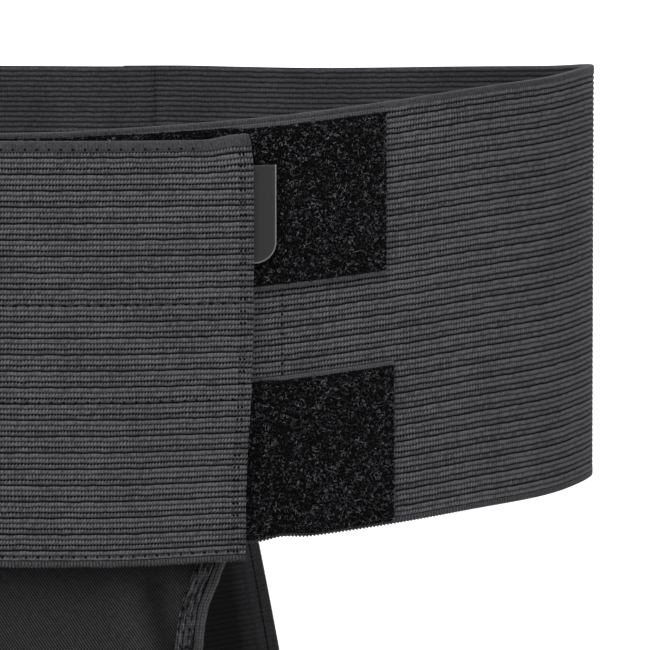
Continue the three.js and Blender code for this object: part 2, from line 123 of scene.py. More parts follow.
# Waist line. The belt is laid round an oval that is squarer than an ellipse. Every layer of it is placed by a
# distance in mm round the front centre, growing to the right, an offset in mm outwards and a height in mm.
WEBBING_WIDTH = 130.0
WEBBING_THICKNESS = 2.0
WAIST_SQUARENESS = 2.3
WAIST_HALF_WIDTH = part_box("belt_right")[1].x / MM - WEBBING_THICKNESS / 2
WAIST_HALF_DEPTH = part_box("belt_left")[1].y / MM - WEBBING_THICKNESS / 2
SIDE_RISE = 14.0
RISE_ROWS = [
    {"girth": -0.1, "rise": 0.02},
    {"girth": 0.0, "rise": 0.13},
    {"girth": 0.02, "rise": 0.2},
    {"girth": 0.07, "rise": 0.415},
    {"girth": 0.115, "rise": 0.68},
    {"girth": 0.15, "rise": 0.87},
    {"girth": 0.185, "rise": 0.94},
    {"girth": 0.22, "rise": 0.97},
    {"girth": 0.265, "rise": 0.76},
    {"girth": 0.315, "rise": 0.43},
    {"girth": 0.375, "rise": 0.165},
    {"girth": 0.415, "rise": 0.06},
    {"girth": 0.455, "rise": 0.055},
    {"girth": 0.5, "rise": 0.04},
    {"girth": 0.6, "rise": 0.14},
    {"girth": 0.75, "rise": 0.6},
    {"girth": 0.86, "rise": 0.22},
    {"girth": 0.94, "rise": 0.0},
    {"girth": 1.1, "rise": 0.0},
]
angles = np.linspace(0, 2 * math.pi, 7201)
reach = (
    np.abs(np.sin(angles) / WAIST_HALF_WIDTH) ** WAIST_SQUARENESS
    + np.abs(np.cos(angles) / WAIST_HALF_DEPTH) ** WAIST_SQUARENESS
) ** (-1 / WAIST_SQUARENESS)
waist_x, waist_y = reach * np.sin(angles), -reach * np.cos(angles)
waist_length = np.concatenate([[0], np.cumsum(np.hypot(np.diff(waist_x), np.diff(waist_y)))])
GIRTH = waist_length[-1]
BACK_CENTRE = GIRTH / 2
waist_out_x, waist_out_y = np.gradient(waist_y, waist_length), -np.gradient(waist_x, waist_length)


def round_waist(along, offset, height):
    """Points in mm of a layer of the belt, as an array with a last axis of three."""
    place = np.mod(along, GIRTH)
    x, y, out_x, out_y = (
        np.interp(place, waist_length, v) for v in (waist_x, waist_y, waist_out_x, waist_out_y)
    )
    return np.stack(np.broadcast_arrays(x + out_x * offset, y + out_y * offset, height), axis=-1)


def smooth_value(rows, place_column, value_column, place):
    """The value of a table's column on a smooth curve through its rows."""
    places = np.array([row[place_column] for row in rows])
    values = np.array([row[value_column] for row in rows])
    rate = np.empty(len(rows))
    rate[1:-1] = (values[2:] - values[:-2]) / (places[2:] - places[:-2])
    rate[0] = (values[1] - values[0]) / (places[1] - places[0])
    rate[-1] = (values[-1] - values[-2]) / (places[-1] - places[-2])
    row = np.clip(np.searchsorted(places, place, side="right") - 1, 0, len(rows) - 2)
    span = places[row + 1] - places[row]
    t = np.clip((place - places[row]) / span, 0, 1)
    start = values[row] * (1 + 2 * t) * (1 - t) ** 2 + rate[row] * span * t * (1 - t) ** 2
    return start + values[row + 1] * t * t * (3 - 2 * t) + rate[row + 1] * span * t * t * (t - 1)


def rise_at(along):
    return SIDE_RISE * smooth_value(RISE_ROWS, "girth", "rise", np.asarray(along) / GIRTH)


def ease(value, start, end):
    t = np.clip((np.asarray(value, dtype=float) - start) / (end - start), 0, 1)
    return t * t * (3 - 2 * t)


# Ribbed elastic webbing, the cloth of the belt and the rear panel: a knitted band of covered rubber threads
# whose ribs run along it in threes, with a deeper groove after each third. Both long edges end in a plain
# selvedge.
RIB_PITCH = 5 / 3
RIB_DEPTH = 0.3
GROUP_DEPTH = 0.12
KNIT_PITCH = 0.98
KNIT_LEAN = 0.35
SELVEDGE_LOW = 2.0
SELVEDGE_HIGH = 1.7
RIB_STEPS_OUTSIDE = (0.0, 0.22, 0.5, 0.78)
RIB_STEPS_INSIDE = (0.0, 0.5)
# How dark the inner face is drawn: partly a darker yarn, partly painted shade on the belt's inside.
INNER_YARN_AND_SHADE = 0.64
WEBBING_GREY = (0.112, 0.111, 0.120)
# The darkest webbing colour, painted into the grooves as shade.
GROOVE_SHADE_GREY = (0.0020, 0.0020, 0.0024)


def add_node(tree, kind, values=(), **settings):
    """A node with its settings, whose inputs take plain values or the sockets of other nodes, in order."""
    node = tree.nodes.new(kind)
    for name, value in settings.items():
        setattr(node, name, value)
    for place, value in values.items() if isinstance(values, dict) else enumerate(values):
        if isinstance(value, bpy.types.NodeSocket):
            tree.links.new(value, node.inputs[place])
        elif value is not None:
            node.inputs[place].default_value = value
    return node


def calc(operation, *values, clamp=False):
    """The result of a Math node in the tree that holds the sockets among its values."""
    tree = next(value.id_data for value in values if isinstance(value, bpy.types.NodeSocket))
    return add_node(tree, "ShaderNodeMath", values, operation=operation, use_clamp=clamp).outputs[0]


def times(first, second, clamp=False):
    return calc("MULTIPLY", first, second, clamp=clamp)


def plus(first, second, clamp=False):
    return calc("ADD", first, second, clamp=clamp)


def less(first, second):
    return calc("SUBTRACT", first, second)


def scaled(value, factor, shift):
    """A value times a factor, plus a shift."""
    return calc("MULTIPLY_ADD", value, factor, shift)


def mesh_value(tree, name):
    """The value that a cloth's mesh carries under a name."""
    return add_node(tree, "ShaderNodeAttribute", (), attribute_name=name).outputs["Fac"]


def saw(value, pitch):
    """How far a place is from the middle of its repeat: 0 in the middle and 1 at either end."""
    part = calc("FRACT", calc("DIVIDE", value, pitch))
    return calc("ABSOLUTE", scaled(part, 2.0, -1.0))


def between(value, low, high):
    """0 below low, 1 above high and smooth between them."""
    given = (value, low, high, 0.0, 1.0)
    return add_node(value.id_data, "ShaderNodeMapRange", given, interpolation_type="SMOOTHSTEP").outputs[0]


def blend_colours(share, first, second):
    tree = share.id_data
    node = add_node(tree, "ShaderNodeMix", (), data_type="RGBA")
    for place, value in ((0, share), (6, first), (7, second)):
        if isinstance(value, bpy.types.NodeSocket):
            tree.links.new(value, node.inputs[place])
        else:
            node.inputs[place].default_value = value if place == 0 else (*value, 1)
    return node.outputs[2]


def cloth_material(name, roughness, sheen, sheen_roughness=0.4, specular=0.1):
    """A cloth's material, with its tree, its shader and the sockets of its UV map in mm along and across."""
    made = bpy.data.materials.new(name)
    made.use_nodes = True
    tree = made.node_tree
    shader = tree.nodes["Principled BSDF"]
    shader.inputs["Roughness"].default_value = roughness
    shader.inputs["Specular IOR Level"].default_value = specular
    shader.inputs["Sheen Weight"].default_value = sheen
    shader.inputs["Sheen Roughness"].default_value = sheen_roughness
    cloth_map = add_node(tree, "ShaderNodeUVMap", (), uv_map="cloth").outputs[0]
    flat = add_node(tree, "ShaderNodeSeparateXYZ", (cloth_map,))
    return made, tree, shader, flat.outputs[0], flat.outputs[1]


def colour(shader, share, first, second):
    """Gives a shader a colour between the first, at a share of 0, and the second, at 1."""
    shader.id_data.links.new(blend_colours(share, first, second), shader.inputs["Base Color"])


def add_bump(shader, height, depth_mm):
    bump = add_node(shader.id_data, "ShaderNodeBump", {"Height": height, "Distance": depth_mm * MM})
    shader.id_data.links.new(bump.outputs[0], shader.inputs["Normal"])


def noise(tree, scale, detail=2.0):
    place = add_node(tree, "ShaderNodeTexCoord").outputs["Object"]
    return add_node(
        tree, "ShaderNodeTexNoise", {"Vector": place, "Scale": scale, "Detail": detail}
    ).outputs[0]


def near(value, low, high):
    """1 where the size of value is below low, 0 where it is above high."""
    return less(1.0, between(calc("ABSOLUTE", value), low, high))


webbing, tree, shader, along_mm, across_mm = cloth_material("webbing", 0.85, 0.04)
along_mm = plus(along_mm, scaled(noise(tree, 75, 2), 2.4, -1.2))
wavering = plus(across_mm, scaled(noise(tree, 230, 2), 0.7, -0.35))
rib_place = calc("DIVIDE", wavering, RIB_PITCH)
in_rib = times(calc("FRACT", rib_place), RIB_PITCH)
leaning = scaled(in_rib, -KNIT_LEAN, along_mm)
column = saw(leaning, KNIT_PITCH)
in_group = times(calc("FRACT", calc("DIVIDE", rib_place, 3.0)), 3 * RIB_PITCH)
teeth = scaled(column, 0.5, less(in_group, 0.25))
# Painted shade: the grooves between ribs, the deeper line after each third and the inner face's cord valleys
# go near black.
strong_groove = near(less(teeth, RIB_PITCH), 0.13, 0.47)
weak_groove = near(less(teeth, 2 * RIB_PITCH), 0.08, 0.44)
from_line = calc("MINIMUM", teeth, less(3 * RIB_PITCH, in_group))
group_line = near(from_line, 0.14, 0.5)
strong = calc("MAXIMUM", strong_groove, group_line)
dark = calc("MAXIMUM", times(weak_groove, 0.84), strong)
plain_rib = near(in_group, RIB_PITCH - 0.1, RIB_PITCH + 0.1)
tooth_share = scaled(plain_rib, -0.05, 0.52)
tooth = scaled(times(between(column, 0.3, 0.95), tooth_share), -1.0, 1.0)
stitch_cell = add_node(
    tree,
    "ShaderNodeCombineXYZ",
    (calc("FLOOR", calc("DIVIDE", leaning, KNIT_PITCH)), calc("FLOOR", rib_place), 0.0),
).outputs[0]
each_stitch = add_node(tree, "ShaderNodeTexWhiteNoise", (stitch_cell,), noise_dimensions="2D").outputs[0]
uneven = scaled(each_stitch, 0.5, 0.72)
lit_rib = times(times(tooth, uneven), scaled(plain_rib, -0.25, 1.0))
from_top = less(WEBBING_WIDTH, across_mm)
above_low = between(across_mm, SELVEDGE_LOW - 0.2, SELVEDGE_LOW + 0.2)
top_band = mesh_value(tree, "top_band")
ribbed = times(above_low, between(less(from_top, top_band), -0.3, 0.3))
knit = times(less(1.0, dark), lit_rib)
looped = between(saw(along_mm, KNIT_PITCH), 0.3, 1.0)
tick_depth = scaled(above_low, 0.24, -0.36)
tick = scaled(looped, tick_depth, scaled(above_low, -0.1, 0.5))
low_line = times(near(less(across_mm, SELVEDGE_LOW), 0.1, 0.4), -0.45)
edge_knit = plus(tick, low_line, clamp=True)
edge_share = less(1.0, ribbed)
knit = plus(times(knit, ribbed), times(edge_knit, edge_share))
cord = less(1.0, calc("POWER", saw(wavering, RIB_PITCH), 1.6))
cord = times(cord, scaled(between(column, 0.3, 0.95), -0.22, 1.0))
striped = mesh_value(tree, "striped")
cord = scaled(cord, 0.72, 0.04)
knit = plus(times(knit, less(1.0, striped)), times(cord, striped))
plain = mesh_value(tree, "plain")
knit = plus(times(knit, less(1.0, plain)), times(plain, 0.36))
fuzz = scaled(noise(tree, 1500, 3), 1.9, 0.02)
broad = scaled(noise(tree, 60, 2), 0.6, 0.7)
# Darkens the inner faces: partly a darker yarn, partly painted shade.
yarn_and_shade = mesh_value(tree, "yarn_and_shade")
shade = times(times(knit, fuzz), times(broad, yarn_and_shade), clamp=True)
colour(shader, shade, GROOVE_SHADE_GREY, WEBBING_GREY)
add_bump(shader, knit, 0.3)


def add_mesh(name, points, faces, flat_mm, marks, material, smooth=True):
    """An object from points in mm. It has a UV map in mm and marks, which are named values on its points."""
    mesh = bpy.data.meshes.new(name)
    mesh.from_pydata((np.asarray(points) * MM).tolist(), [], faces)
    corners = np.empty(len(mesh.loops), dtype=np.int32)
    mesh.loops.foreach_get("vertex_index", corners)
    cloth_map = mesh.uv_layers.new(name="cloth")
    cloth_map.data.foreach_set("uv", np.asarray(flat_mm, dtype=np.float32)[corners].ravel())
    for mark, values in marks.items():
        values = np.asarray(values, dtype=np.float32)
        attribute = mesh.attributes.new(mark, "FLOAT_VECTOR" if values.ndim == 2 else "FLOAT", "POINT")
        attribute.data.foreach_set("vector" if values.ndim == 2 else "value", values.ravel())
    mesh.polygons.foreach_set("use_smooth", np.full(len(mesh.polygons), smooth))
    mesh.materials.append(material)
    piece = bpy.data.objects.new(name, mesh)
    bpy.context.collection.objects.link(piece)
    return piece


def loft(name, sections, flat_mm, marks, material):
    """A closed body from sections, an array of closed loops of points, with a flat face at each end."""
    count, loop = sections.shape[:2]
    grid = np.arange(count * loop).reshape(count, loop)
    after = np.roll(grid, -1, axis=1)
    quads = np.stack([grid[:-1], grid[1:], after[1:], after[:-1]], axis=-1).reshape(-1, 4).tolist()
    quads += [grid[0].tolist(), grid[-1][::-1].tolist()]
    points = sections.reshape(-1, 3)
    piece = add_mesh(name, points, quads, flat_mm.reshape(-1, 2), marks, material)
    for end in piece.data.polygons[-2:]:
        end.use_smooth = False
    a, b, c = (points[[face[i] for face in quads[:-2]]] for i in (0, 1, 2))
    if (a * np.cross(b, c)).sum() < 0:
        piece.data.flip_normals()
    return piece


def node_modifier(tree_name, inputs, build):
    """A Geometry Nodes tree with named inputs. build gets the tree, the geometry and the inputs' sockets."""
    tree = bpy.data.node_groups.new(tree_name, "GeometryNodeTree")
    tree.interface.new_socket("Geometry", in_out="INPUT", socket_type="NodeSocketGeometry")
    tree.interface.new_socket("Geometry", in_out="OUTPUT", socket_type="NodeSocketGeometry")
    for label, kind in inputs.items():
        tree.interface.new_socket(label, in_out="INPUT", socket_type=kind)
    start = tree.nodes.new("NodeGroupInput")
    end = tree.nodes.new("NodeGroupOutput")
    tree.links.new(build(tree, start.outputs["Geometry"], start.outputs), end.inputs[0])
    return tree


def set_by_nodes(piece, tree, **sizes):
    """Runs a tree on a piece and leaves the result as its plain mesh. A size's name has _ for each space."""
    modifier = piece.modifiers.new(tree.name, "NODES")
    modifier.node_group = tree
    for item in tree.interface.items_tree:
        key = item.name.replace(" ", "_").lower()
        if item.item_type == "SOCKET" and item.in_out == "INPUT" and key in sizes:
            modifier[item.identifier] = sizes[key]
    piece.update_tag()
    depsgraph = bpy.context.evaluated_depsgraph_get()
    made = bpy.data.meshes.new_from_object(
        piece.evaluated_get(depsgraph), preserve_all_data_layers=True, depsgraph=depsgraph
    )
    piece.modifiers.clear()
    piece.data = made
    return piece


def named(tree, mark, kind="FLOAT"):
    return add_node(
        tree, "GeometryNodeInputNamedAttribute", {"Name": mark}, data_type=kind
    ).outputs["Attribute"]


def build_ribs(tree, geometry, sizes):
    across = named(tree, "across")
    rib = saw(across, sizes["Rib pitch"])
    group = saw(across, times(sizes["Rib pitch"], 3.0))
    deeper = times(calc("GREATER_THAN", group, 0.84), sizes["Group depth"])
    depth = plus(deeper, sizes["Rib depth"])
    valley = times(calc("POWER", rib, 3.0), depth)
    bare = less(named(tree, "edge"), sizes["Selvedge"])
    sunk = times(valley, calc("DIVIDE", bare, 0.5, clamp=True))
    inward = add_node(
        tree, "ShaderNodeVectorMath", {0: named(tree, "out", "FLOAT_VECTOR")}, operation="SCALE"
    )
    tree.links.new(times(sunk, -MM), inward.inputs["Scale"])
    moved = add_node(tree, "GeometryNodeSetPosition", {"Geometry": geometry, "Offset": inward.outputs[0]})
    return moved.outputs[0]


rib_tree = node_modifier(
    "ribs",
    {label: "NodeSocketFloat" for label in ("Rib pitch", "Rib depth", "Group depth", "Selvedge")},
    build_ribs,
)


def webbing_rows(steps):
    """Places in mm across the webbing of the ribs' crests and grooves."""
    ribs = round(WEBBING_WIDTH / RIB_PITCH)
    return np.array([(rib + step) * RIB_PITCH for rib in range(ribs) for step in steps][1:])


def webbing_section():
    """The webbing's section once round, in mm: places across, offsets from its middle and sides."""
    half = WEBBING_THICKNESS / 2
    outer, inner = webbing_rows(RIB_STEPS_OUTSIDE), webbing_rows(RIB_STEPS_INSIDE)[::-1]
    rows = [(0.0, 0.55 * half, 1)] + [
        (across, half, 1) for across in outer
    ] + [(WEBBING_WIDTH, 0.55 * half, 1)]
    rows += [(WEBBING_WIDTH, -0.55 * half, -1)] + [
        (across, -half, -1) for across in inner
    ] + [(0.0, -0.55 * half, -1)]
    return np.array(rows)


def webbing_piece(name, stations, place, inner_yarn_and_shade=INNER_YARN_AND_SHADE, top_band=SELVEDGE_HIGH, plain=0.0):
    """A length of webbing. place gives the points in mm of stations along, places across and offsets.
    The other values, numbers or one for each station, say how its inner face and top edge look."""
    section = webbing_section()
    along, across = np.meshgrid(stations, section[:, 0], indexing="ij")
    offset = np.broadcast_to(section[:, 1], along.shape)
    side = np.broadcast_to(section[:, 2], along.shape)
    points = place(along, across, offset)
    outward = place(along, across, offset + 0.5) - points
    outward /= np.linalg.norm(outward, axis=-1, keepdims=True)
    marks = {
        "across": across.ravel(),
        "edge": np.minimum(across, WEBBING_WIDTH - across).ravel(),
        "out": (outward * side[..., None]).reshape(-1, 3),
        # The inner face is drawn darker: partly a darker yarn, partly painted shade.
        "yarn_and_shade": np.where(side > 0, 1.0, inner_yarn_and_shade).ravel(),
        "top_band": np.broadcast_to(top_band, along.shape).ravel(),
        "striped": np.where(side > 0, 0.0, 1.0).ravel(),
        "plain": np.where(side > 0, 0.0, plain).ravel(),
    }
    piece = loft(name, points, np.stack([along, across], axis=-1), marks, webbing)
    sizes = {
        "rib_pitch": RIB_PITCH, "rib_depth": RIB_DEPTH, "group_depth": GROUP_DEPTH, "selvedge": SELVEDGE_LOW
    }
    return set_by_nodes(piece, rib_tree, **sizes)


def belong(piece, slot, *nodes):
    """A finished piece rides on the one rigid body and stands for its CAD nodes. The slot is not used."""
    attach(piece, "root")
    if nodes:
        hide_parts(*nodes)


# The belt's right length: webbing from the underlap's end, hidden behind the flap, round the viewer's right
# side to the seam in the back, where its end lies outside the left length.
LAYER_GAP = 0.3
UNDERLAP_PAST_CENTRE = 62.0
SEAM_FROM_BACK_CENTRE = 25.0
SEAM = BACK_CENTRE - SEAM_FROM_BACK_CENTRE
SEAM_OVERLAP = 10.0
SEAM_LIFT_LENGTH = 24.0
LIFT_CLEARANCE = 3.0
BELT_STEP = 4.0
NAP_SEAM = 68.2
SEAM_PULL = 1.06
SEAM_PULL_HALF_LENGTH = 5.4


def seam_pull(along, across):
    """How far in mm the row of stitches that holds the pile patches draws the lower edge up."""
    return SEAM_PULL * np.exp(-(((along - NAP_SEAM) / SEAM_PULL_HALF_LENGTH) ** 2)) * ease(across, 24, 0)


def place_right(along, across, offset):
    lifted = SEAM - LIFT_CLEARANCE
    lift = (WEBBING_THICKNESS + LAYER_GAP) * ease(along, lifted - SEAM_LIFT_LENGTH, lifted)
    height = rise_at(along) + across - WEBBING_WIDTH / 2 + seam_pull(along, across)
    return round_waist(along, lift + offset, height)


right_length = UNDERLAP_PAST_CENTRE + SEAM + SEAM_OVERLAP
stations = np.linspace(-UNDERLAP_PAST_CENTRE, SEAM + SEAM_OVERLAP, round(right_length / BELT_STEP))
belt_right = webbing_piece("right_webbing", stations, place_right)
belong(belt_right, "webbing", "belt_right")


# The belt's left length: the same webbing from the back seam round the viewer's left side to the closing
# flap, which lies over the underlap on the hook and loop tapes and ends in a stitched, slightly drawn-in
# edge.
FLAP_PAST_CENTRE = 58.4
FLAP_LIFT_LENGTH = 34.0
LOOP_THICKNESS = 1.8
HOOK_THICKNESS = 1.4
LOOP_OFFSET = WEBBING_THICKNESS / 2 + LAYER_GAP
HOOK_OFFSET = LOOP_OFFSET + LOOP_THICKNESS + LAYER_GAP
FLAP_OFFSET = HOOK_OFFSET + HOOK_THICKNESS + LAYER_GAP + WEBBING_THICKNESS / 2
FLAP_END = GIRTH + FLAP_PAST_CENTRE
FLAP_DRAW = 45.0
FLAP_DRAW_UP = 1.2
FLAP_TOP_PUCKER = 1.5
FLAP_TOP_BAND = 3.3
FLAP_SEWN_LENGTH = 100.0
FLAP_STEP = 2.2
FLAP_END_ROWS = [
    {"share": 0.0, "inset": 2.35},
    {"share": 0.1, "inset": 2.4},
    {"share": 0.177, "inset": 2.3},
    {"share": 0.294, "inset": 1.6},
    {"share": 0.387, "inset": 0.76},
    {"share": 0.5, "inset": 0.2},
    {"share": 0.6, "inset": 0.0},
    {"share": 0.92, "inset": 0.0},
    {"share": 0.952, "inset": 0.3},
    {"share": 0.97, "inset": 0.65},
    {"share": 0.985, "inset": 0.75},
    {"share": 1.0, "inset": 1.5},
]


def place_left(along, across, offset):
    lifted = GIRTH - UNDERLAP_PAST_CENTRE - LIFT_CLEARANCE
    lift = FLAP_OFFSET * ease(along, lifted - FLAP_LIFT_LENGTH, lifted)
    share = across / WEBBING_WIDTH
    near_end = ease(along, FLAP_END - FLAP_DRAW, FLAP_END)
    height = rise_at(along) + across - WEBBING_WIDTH / 2 + FLAP_DRAW_UP * near_end * (1 - share) ** 2
    height = height + FLAP_TOP_PUCKER * ease(along, FLAP_END - 14.0, FLAP_END - 3.0) * ease(share, 0.88, 1.0)
    offset = offset * np.where(offset < 0, 0.4 + 0.6 * ease(along, SEAM, SEAM + 3.0), 1.0)
    inset = smooth_value(FLAP_END_ROWS, "share", "inset", share)
    return round_waist(along - near_end * inset, lift + offset, height)


left_length = FLAP_END - SEAM
flap_stations = np.arange(FLAP_END - FLAP_DRAW, FLAP_END - 1.0, FLAP_STEP)
stations = np.linspace(
    SEAM, FLAP_END - FLAP_DRAW, round((left_length - FLAP_DRAW) / BELT_STEP), endpoint=False
)
stations = np.concatenate([stations, flap_stations, [FLAP_END]])
rows_start = FLAP_END - FLAP_SEWN_LENGTH
sewn_down = ease(stations, rows_start - 4, rows_start)[:, None]
top_band = SELVEDGE_HIGH + (FLAP_TOP_BAND - SELVEDGE_HIGH) * sewn_down
belt_left = webbing_piece("left_webbing", stations, place_left, top_band=top_band)
belong(belt_left, "webbing", "belt_left")


# Selvedge beads and stitching of the belt. The webbing's lower edges end in a row of small knitted loops. The
# flap is sewn to its tapes by rows of stitches, and closed by a double row at its end. Each needle hole is a
# small near-black blob, painted as the shade inside the hole.
BEAD_PITCH = 1.14
BEAD_SIZE = 1.08
STITCH_PITCH = 3.6
THREAD_WIDTH = 0.4
HOLE_SIZE = 1.05
HOLE_EXTENTS = (HOLE_SIZE, 0.85 * HOLE_SIZE, 0.6)
EXTENTS = ("length", "width", "height")
ROW_STEP = 1.5
FLAP_ROWS_ACROSS = (127.5, 80.0, 50.4, 3.0)
FLAP_ROW_END_INSET = 5.0
TOP_ROW_END_INSET = 16.0
FLAP_END_ROW_INSETS = (2.6, 3.8)
SEAM_ROW_INSETS = (2.2, 6.8)
SEAM_STITCH_PITCH = 3.0
BEAD_YARN = 1.1
THREAD_BLACK = (0.045, 0.045, 0.049)
THREAD_DARK_AND_HOLE_SHADE = (0.0012, 0.0012, 0.0014)
HOLE_SHADE_GREY = (0.004, 0.004, 0.004)

thread, tree, shader, _, _ = cloth_material("thread", 0.6, 0.15)
tone = noise(tree, 1400, 2)
colour(shader, tone, THREAD_DARK_AND_HOLE_SHADE, THREAD_BLACK)
# Painted shade: the near-black blobs that stand for the needle holes.
needle_hole, tree, shader, _, _ = cloth_material("needle_hole", 0.95, 0.0)
tone = noise(tree, 1100, 2)
colour(shader, tone, THREAD_DARK_AND_HOLE_SHADE, HOLE_SHADE_GREY)


def build_row(tree, geometry, sizes):
    """Threads and holes, or beads, set along polylines and turned to lie on the cloth."""
    line = add_node(tree, "GeometryNodeMeshToCurve", {"Mesh": geometry}).outputs[0]
    spaced = {"Curve": line, "Length": sizes["Pitch"]}
    even = add_node(tree, "GeometryNodeResampleCurve", spaced, mode="LENGTH").outputs[0]
    tangent = tree.nodes.new("GeometryNodeInputTangent").outputs[0]
    axes = (tangent, named(tree, "out", "FLOAT_VECTOR"))
    turn = add_node(tree, "FunctionNodeAxesToRotation", axes, primary_axis="X", secondary_axis="Z")
    parts = []
    for kind, shift in (("Thread", 0.5), ("Hole", 0.0)):
        round_one = {"Radius": 0.5, "Subdivisions": sizes["Detail"]}
        ball = add_node(tree, "GeometryNodeMeshIcoSphere", round_one).outputs[0]
        extents = [sizes[f"{kind} {extent}"] for extent in EXTENTS]
        size = add_node(tree, "ShaderNodeCombineXYZ", extents).outputs[0]
        moved = add_node(tree, "ShaderNodeCombineXYZ", (times(sizes["Pitch"], shift), 0.0, 0.0)).outputs[0]
        shaped = {"Geometry": ball, "Translation": moved, "Scale": size}
        one = add_node(tree, "GeometryNodeTransform", shaped).outputs[0]
        finish = {"Geometry": one, "Material": sizes[kind + " material"]}
        painted = add_node(tree, "GeometryNodeSetMaterial", finish).outputs[0]
        each = {"Points": even, "Instance": painted, "Rotation": turn.outputs[0]}
        parts.append(add_node(tree, "GeometryNodeInstanceOnPoints", each).outputs[0])
    joined = tree.nodes.new("GeometryNodeJoinGeometry")
    for row in parts:
        tree.links.new(row, joined.inputs[0])
    return add_node(tree, "GeometryNodeRealizeInstances", {"Geometry": joined.outputs[0]}).outputs[0]


row_tree = node_modifier(
    "sewn_row",
    {
        "Pitch": "NodeSocketFloat",
        "Detail": "NodeSocketInt",
        **{f"Thread {extent}": "NodeSocketFloat" for extent in EXTENTS},
        **{f"Hole {extent}": "NodeSocketFloat" for extent in EXTENTS},
        "Thread material": "NodeSocketMaterial",
        "Hole material": "NodeSocketMaterial",
    },
    build_row,
)


def sewn_rows(
    name, rows, pitch=STITCH_PITCH, thread_size=None, hole_size=HOLE_EXTENTS, first=thread, second=needle_hole
):
    """Rows of stitches. A row is a pair of arrays in mm: points on the cloth, and points a little outside."""
    points = np.concatenate([row[0] for row in rows])
    outward = np.concatenate([row[1] - row[0] for row in rows])
    outward /= np.linalg.norm(outward, axis=1, keepdims=True)
    starts = np.cumsum([0] + [len(row[0]) for row in rows])
    edges = [(i, i + 1) for a, b in zip(starts, starts[1:]) for i in range(a, b - 1)]
    mesh = bpy.data.meshes.new(name)
    mesh.from_pydata((points * MM).tolist(), edges, [])
    upright = mesh.attributes.new("out", "FLOAT_VECTOR", "POINT")
    upright.data.foreach_set("vector", outward.astype(np.float32).ravel())
    mesh.materials.append(first)
    mesh.materials.append(second)
    piece = bpy.data.objects.new(name, mesh)
    bpy.context.collection.objects.link(piece)
    sizes = {"pitch": pitch * MM, "detail": 1, "thread_material": first, "hole_material": second}
    for kind, extents in (("thread", thread_size or (0.7 * pitch, THREAD_WIDTH, 0.2)), ("hole", hole_size)):
        sizes |= {f"{kind}_{key}": value * MM for key, value in zip(EXTENTS, extents)}
    set_by_nodes(piece, row_tree, **sizes)
    piece.data.polygons.foreach_set("use_smooth", np.full(len(piece.data.polygons), True))
    return piece


def row_on(place, along, across, offset):
    """A row on the belt: along or across is the array of places that it passes."""
    along, across = np.broadcast_arrays(np.asarray(along, dtype=float), np.asarray(across, dtype=float))
    return place(along, across, offset), place(along, across, offset + 1.0)


ROW_SUNK = 0.05
FACE = WEBBING_THICKNESS / 2 - ROW_SUNK
bead_size = (0.96 * BEAD_SIZE, 1.75 * BEAD_SIZE, 1.9)
for name, place, start, end in (
    ("right_beads", place_right, -UNDERLAP_PAST_CENTRE, SEAM + SEAM_OVERLAP),
    ("left_beads", place_left, SEAM, FLAP_END),
):
    line = np.arange(start, end, ROW_STEP)
    low = place(line, np.full(line.shape, 0.4), 0.0)
    row = (low, place(line, np.full(line.shape, 0.0), 1.0))
    beads = sewn_rows(name, [row], BEAD_PITCH, bead_size, (0.4, 0.6, 1.0), webbing, webbing)
    yarn_and_shade = beads.data.attributes.new("yarn_and_shade", "FLOAT", "POINT")
    yarn_and_shade.data.foreach_set("value", np.full(len(beads.data.vertices), BEAD_YARN, dtype=np.float32))
    belong(beads, "webbing")

flap_line = np.arange(rows_start, FLAP_END - FLAP_ROW_END_INSET, ROW_STEP)
top_line = flap_line[flap_line < FLAP_END - TOP_ROW_END_INSET]
up_the_end = np.arange(3.0, WEBBING_WIDTH - 4.0, ROW_STEP)
rows = [row_on(place_left, top_line, FLAP_ROWS_ACROSS[0], FACE)]
rows += [row_on(place_left, flap_line, across, FACE) for across in FLAP_ROWS_ACROSS[1:]]
rows += [row_on(place_left, FLAP_END - inset, up_the_end, FACE) for inset in FLAP_END_ROW_INSETS]
flap_stitches = sewn_rows("flap_stitches", rows)
belong(flap_stitches, "webbing")

up_the_seam = np.arange(3.0, WEBBING_WIDTH - 2.0, ROW_STEP)
seam_rows = [row_on(place_right, SEAM + inset, up_the_seam, FACE) for inset in SEAM_ROW_INSETS]
seam_stitches = sewn_rows("seam_stitches", seam_rows, SEAM_STITCH_PITCH)
belong(seam_stitches, "webbing")


# Loop patches: two black pile tapes sewn to the underlap, one near each edge. Each has a thin woven ground
# with bare selvedges and a dense nap of small loops, which the flap's hooks catch.
UPPER_LOOP_WIDTH = 51.2
LOWER_LOOP_WIDTH = 49.5
UPPER_LOOP_PAST_CENTRE = 101.0
LOWER_LOOP_PAST_CENTRE = 103.6
LOOP_END_INSET = 6.0
UPPER_LOOP_INSET = 1.5
LOWER_LOOP_INSET = 1.0
GROUND_THICKNESS = 0.6
NAP_HEIGHT = 0.95
NAP_PER_MM2 = 3.45
HIDDEN_NAP = 0.02
NAP_SPREAD = 0.9
NAP_TILT = 0.55
NAP_THREAD_RADIUS = 0.14
TAPE_STEP = 2.5
UPPER_NAP_MARGINS = ((1.8, 1.8), (1.5, 1.5))
LOWER_NAP_MARGINS = ((0.0, 0.1), (1.3, 1.8))
PILE_GREY = (0.165, 0.165, 0.182)
PILE_DARK = (0.0012, 0.0012, 0.0015)
GROUND_BLACK = (0.010, 0.010, 0.012)
GROUND_GREY = (0.085, 0.085, 0.092)

loop_pile, tree, shader, _, _ = cloth_material("loop_pile", 0.75, 0.0, 0.5, 0.12)
tone = mesh_value(tree, "tone")
clumps = scaled(between(noise(tree, 420, 2), 0.38, 0.62), 0.85, 0.15)
bright = times(calc("POWER", tone, 2.6), clumps)
colour(shader, bright, PILE_DARK, PILE_GREY)

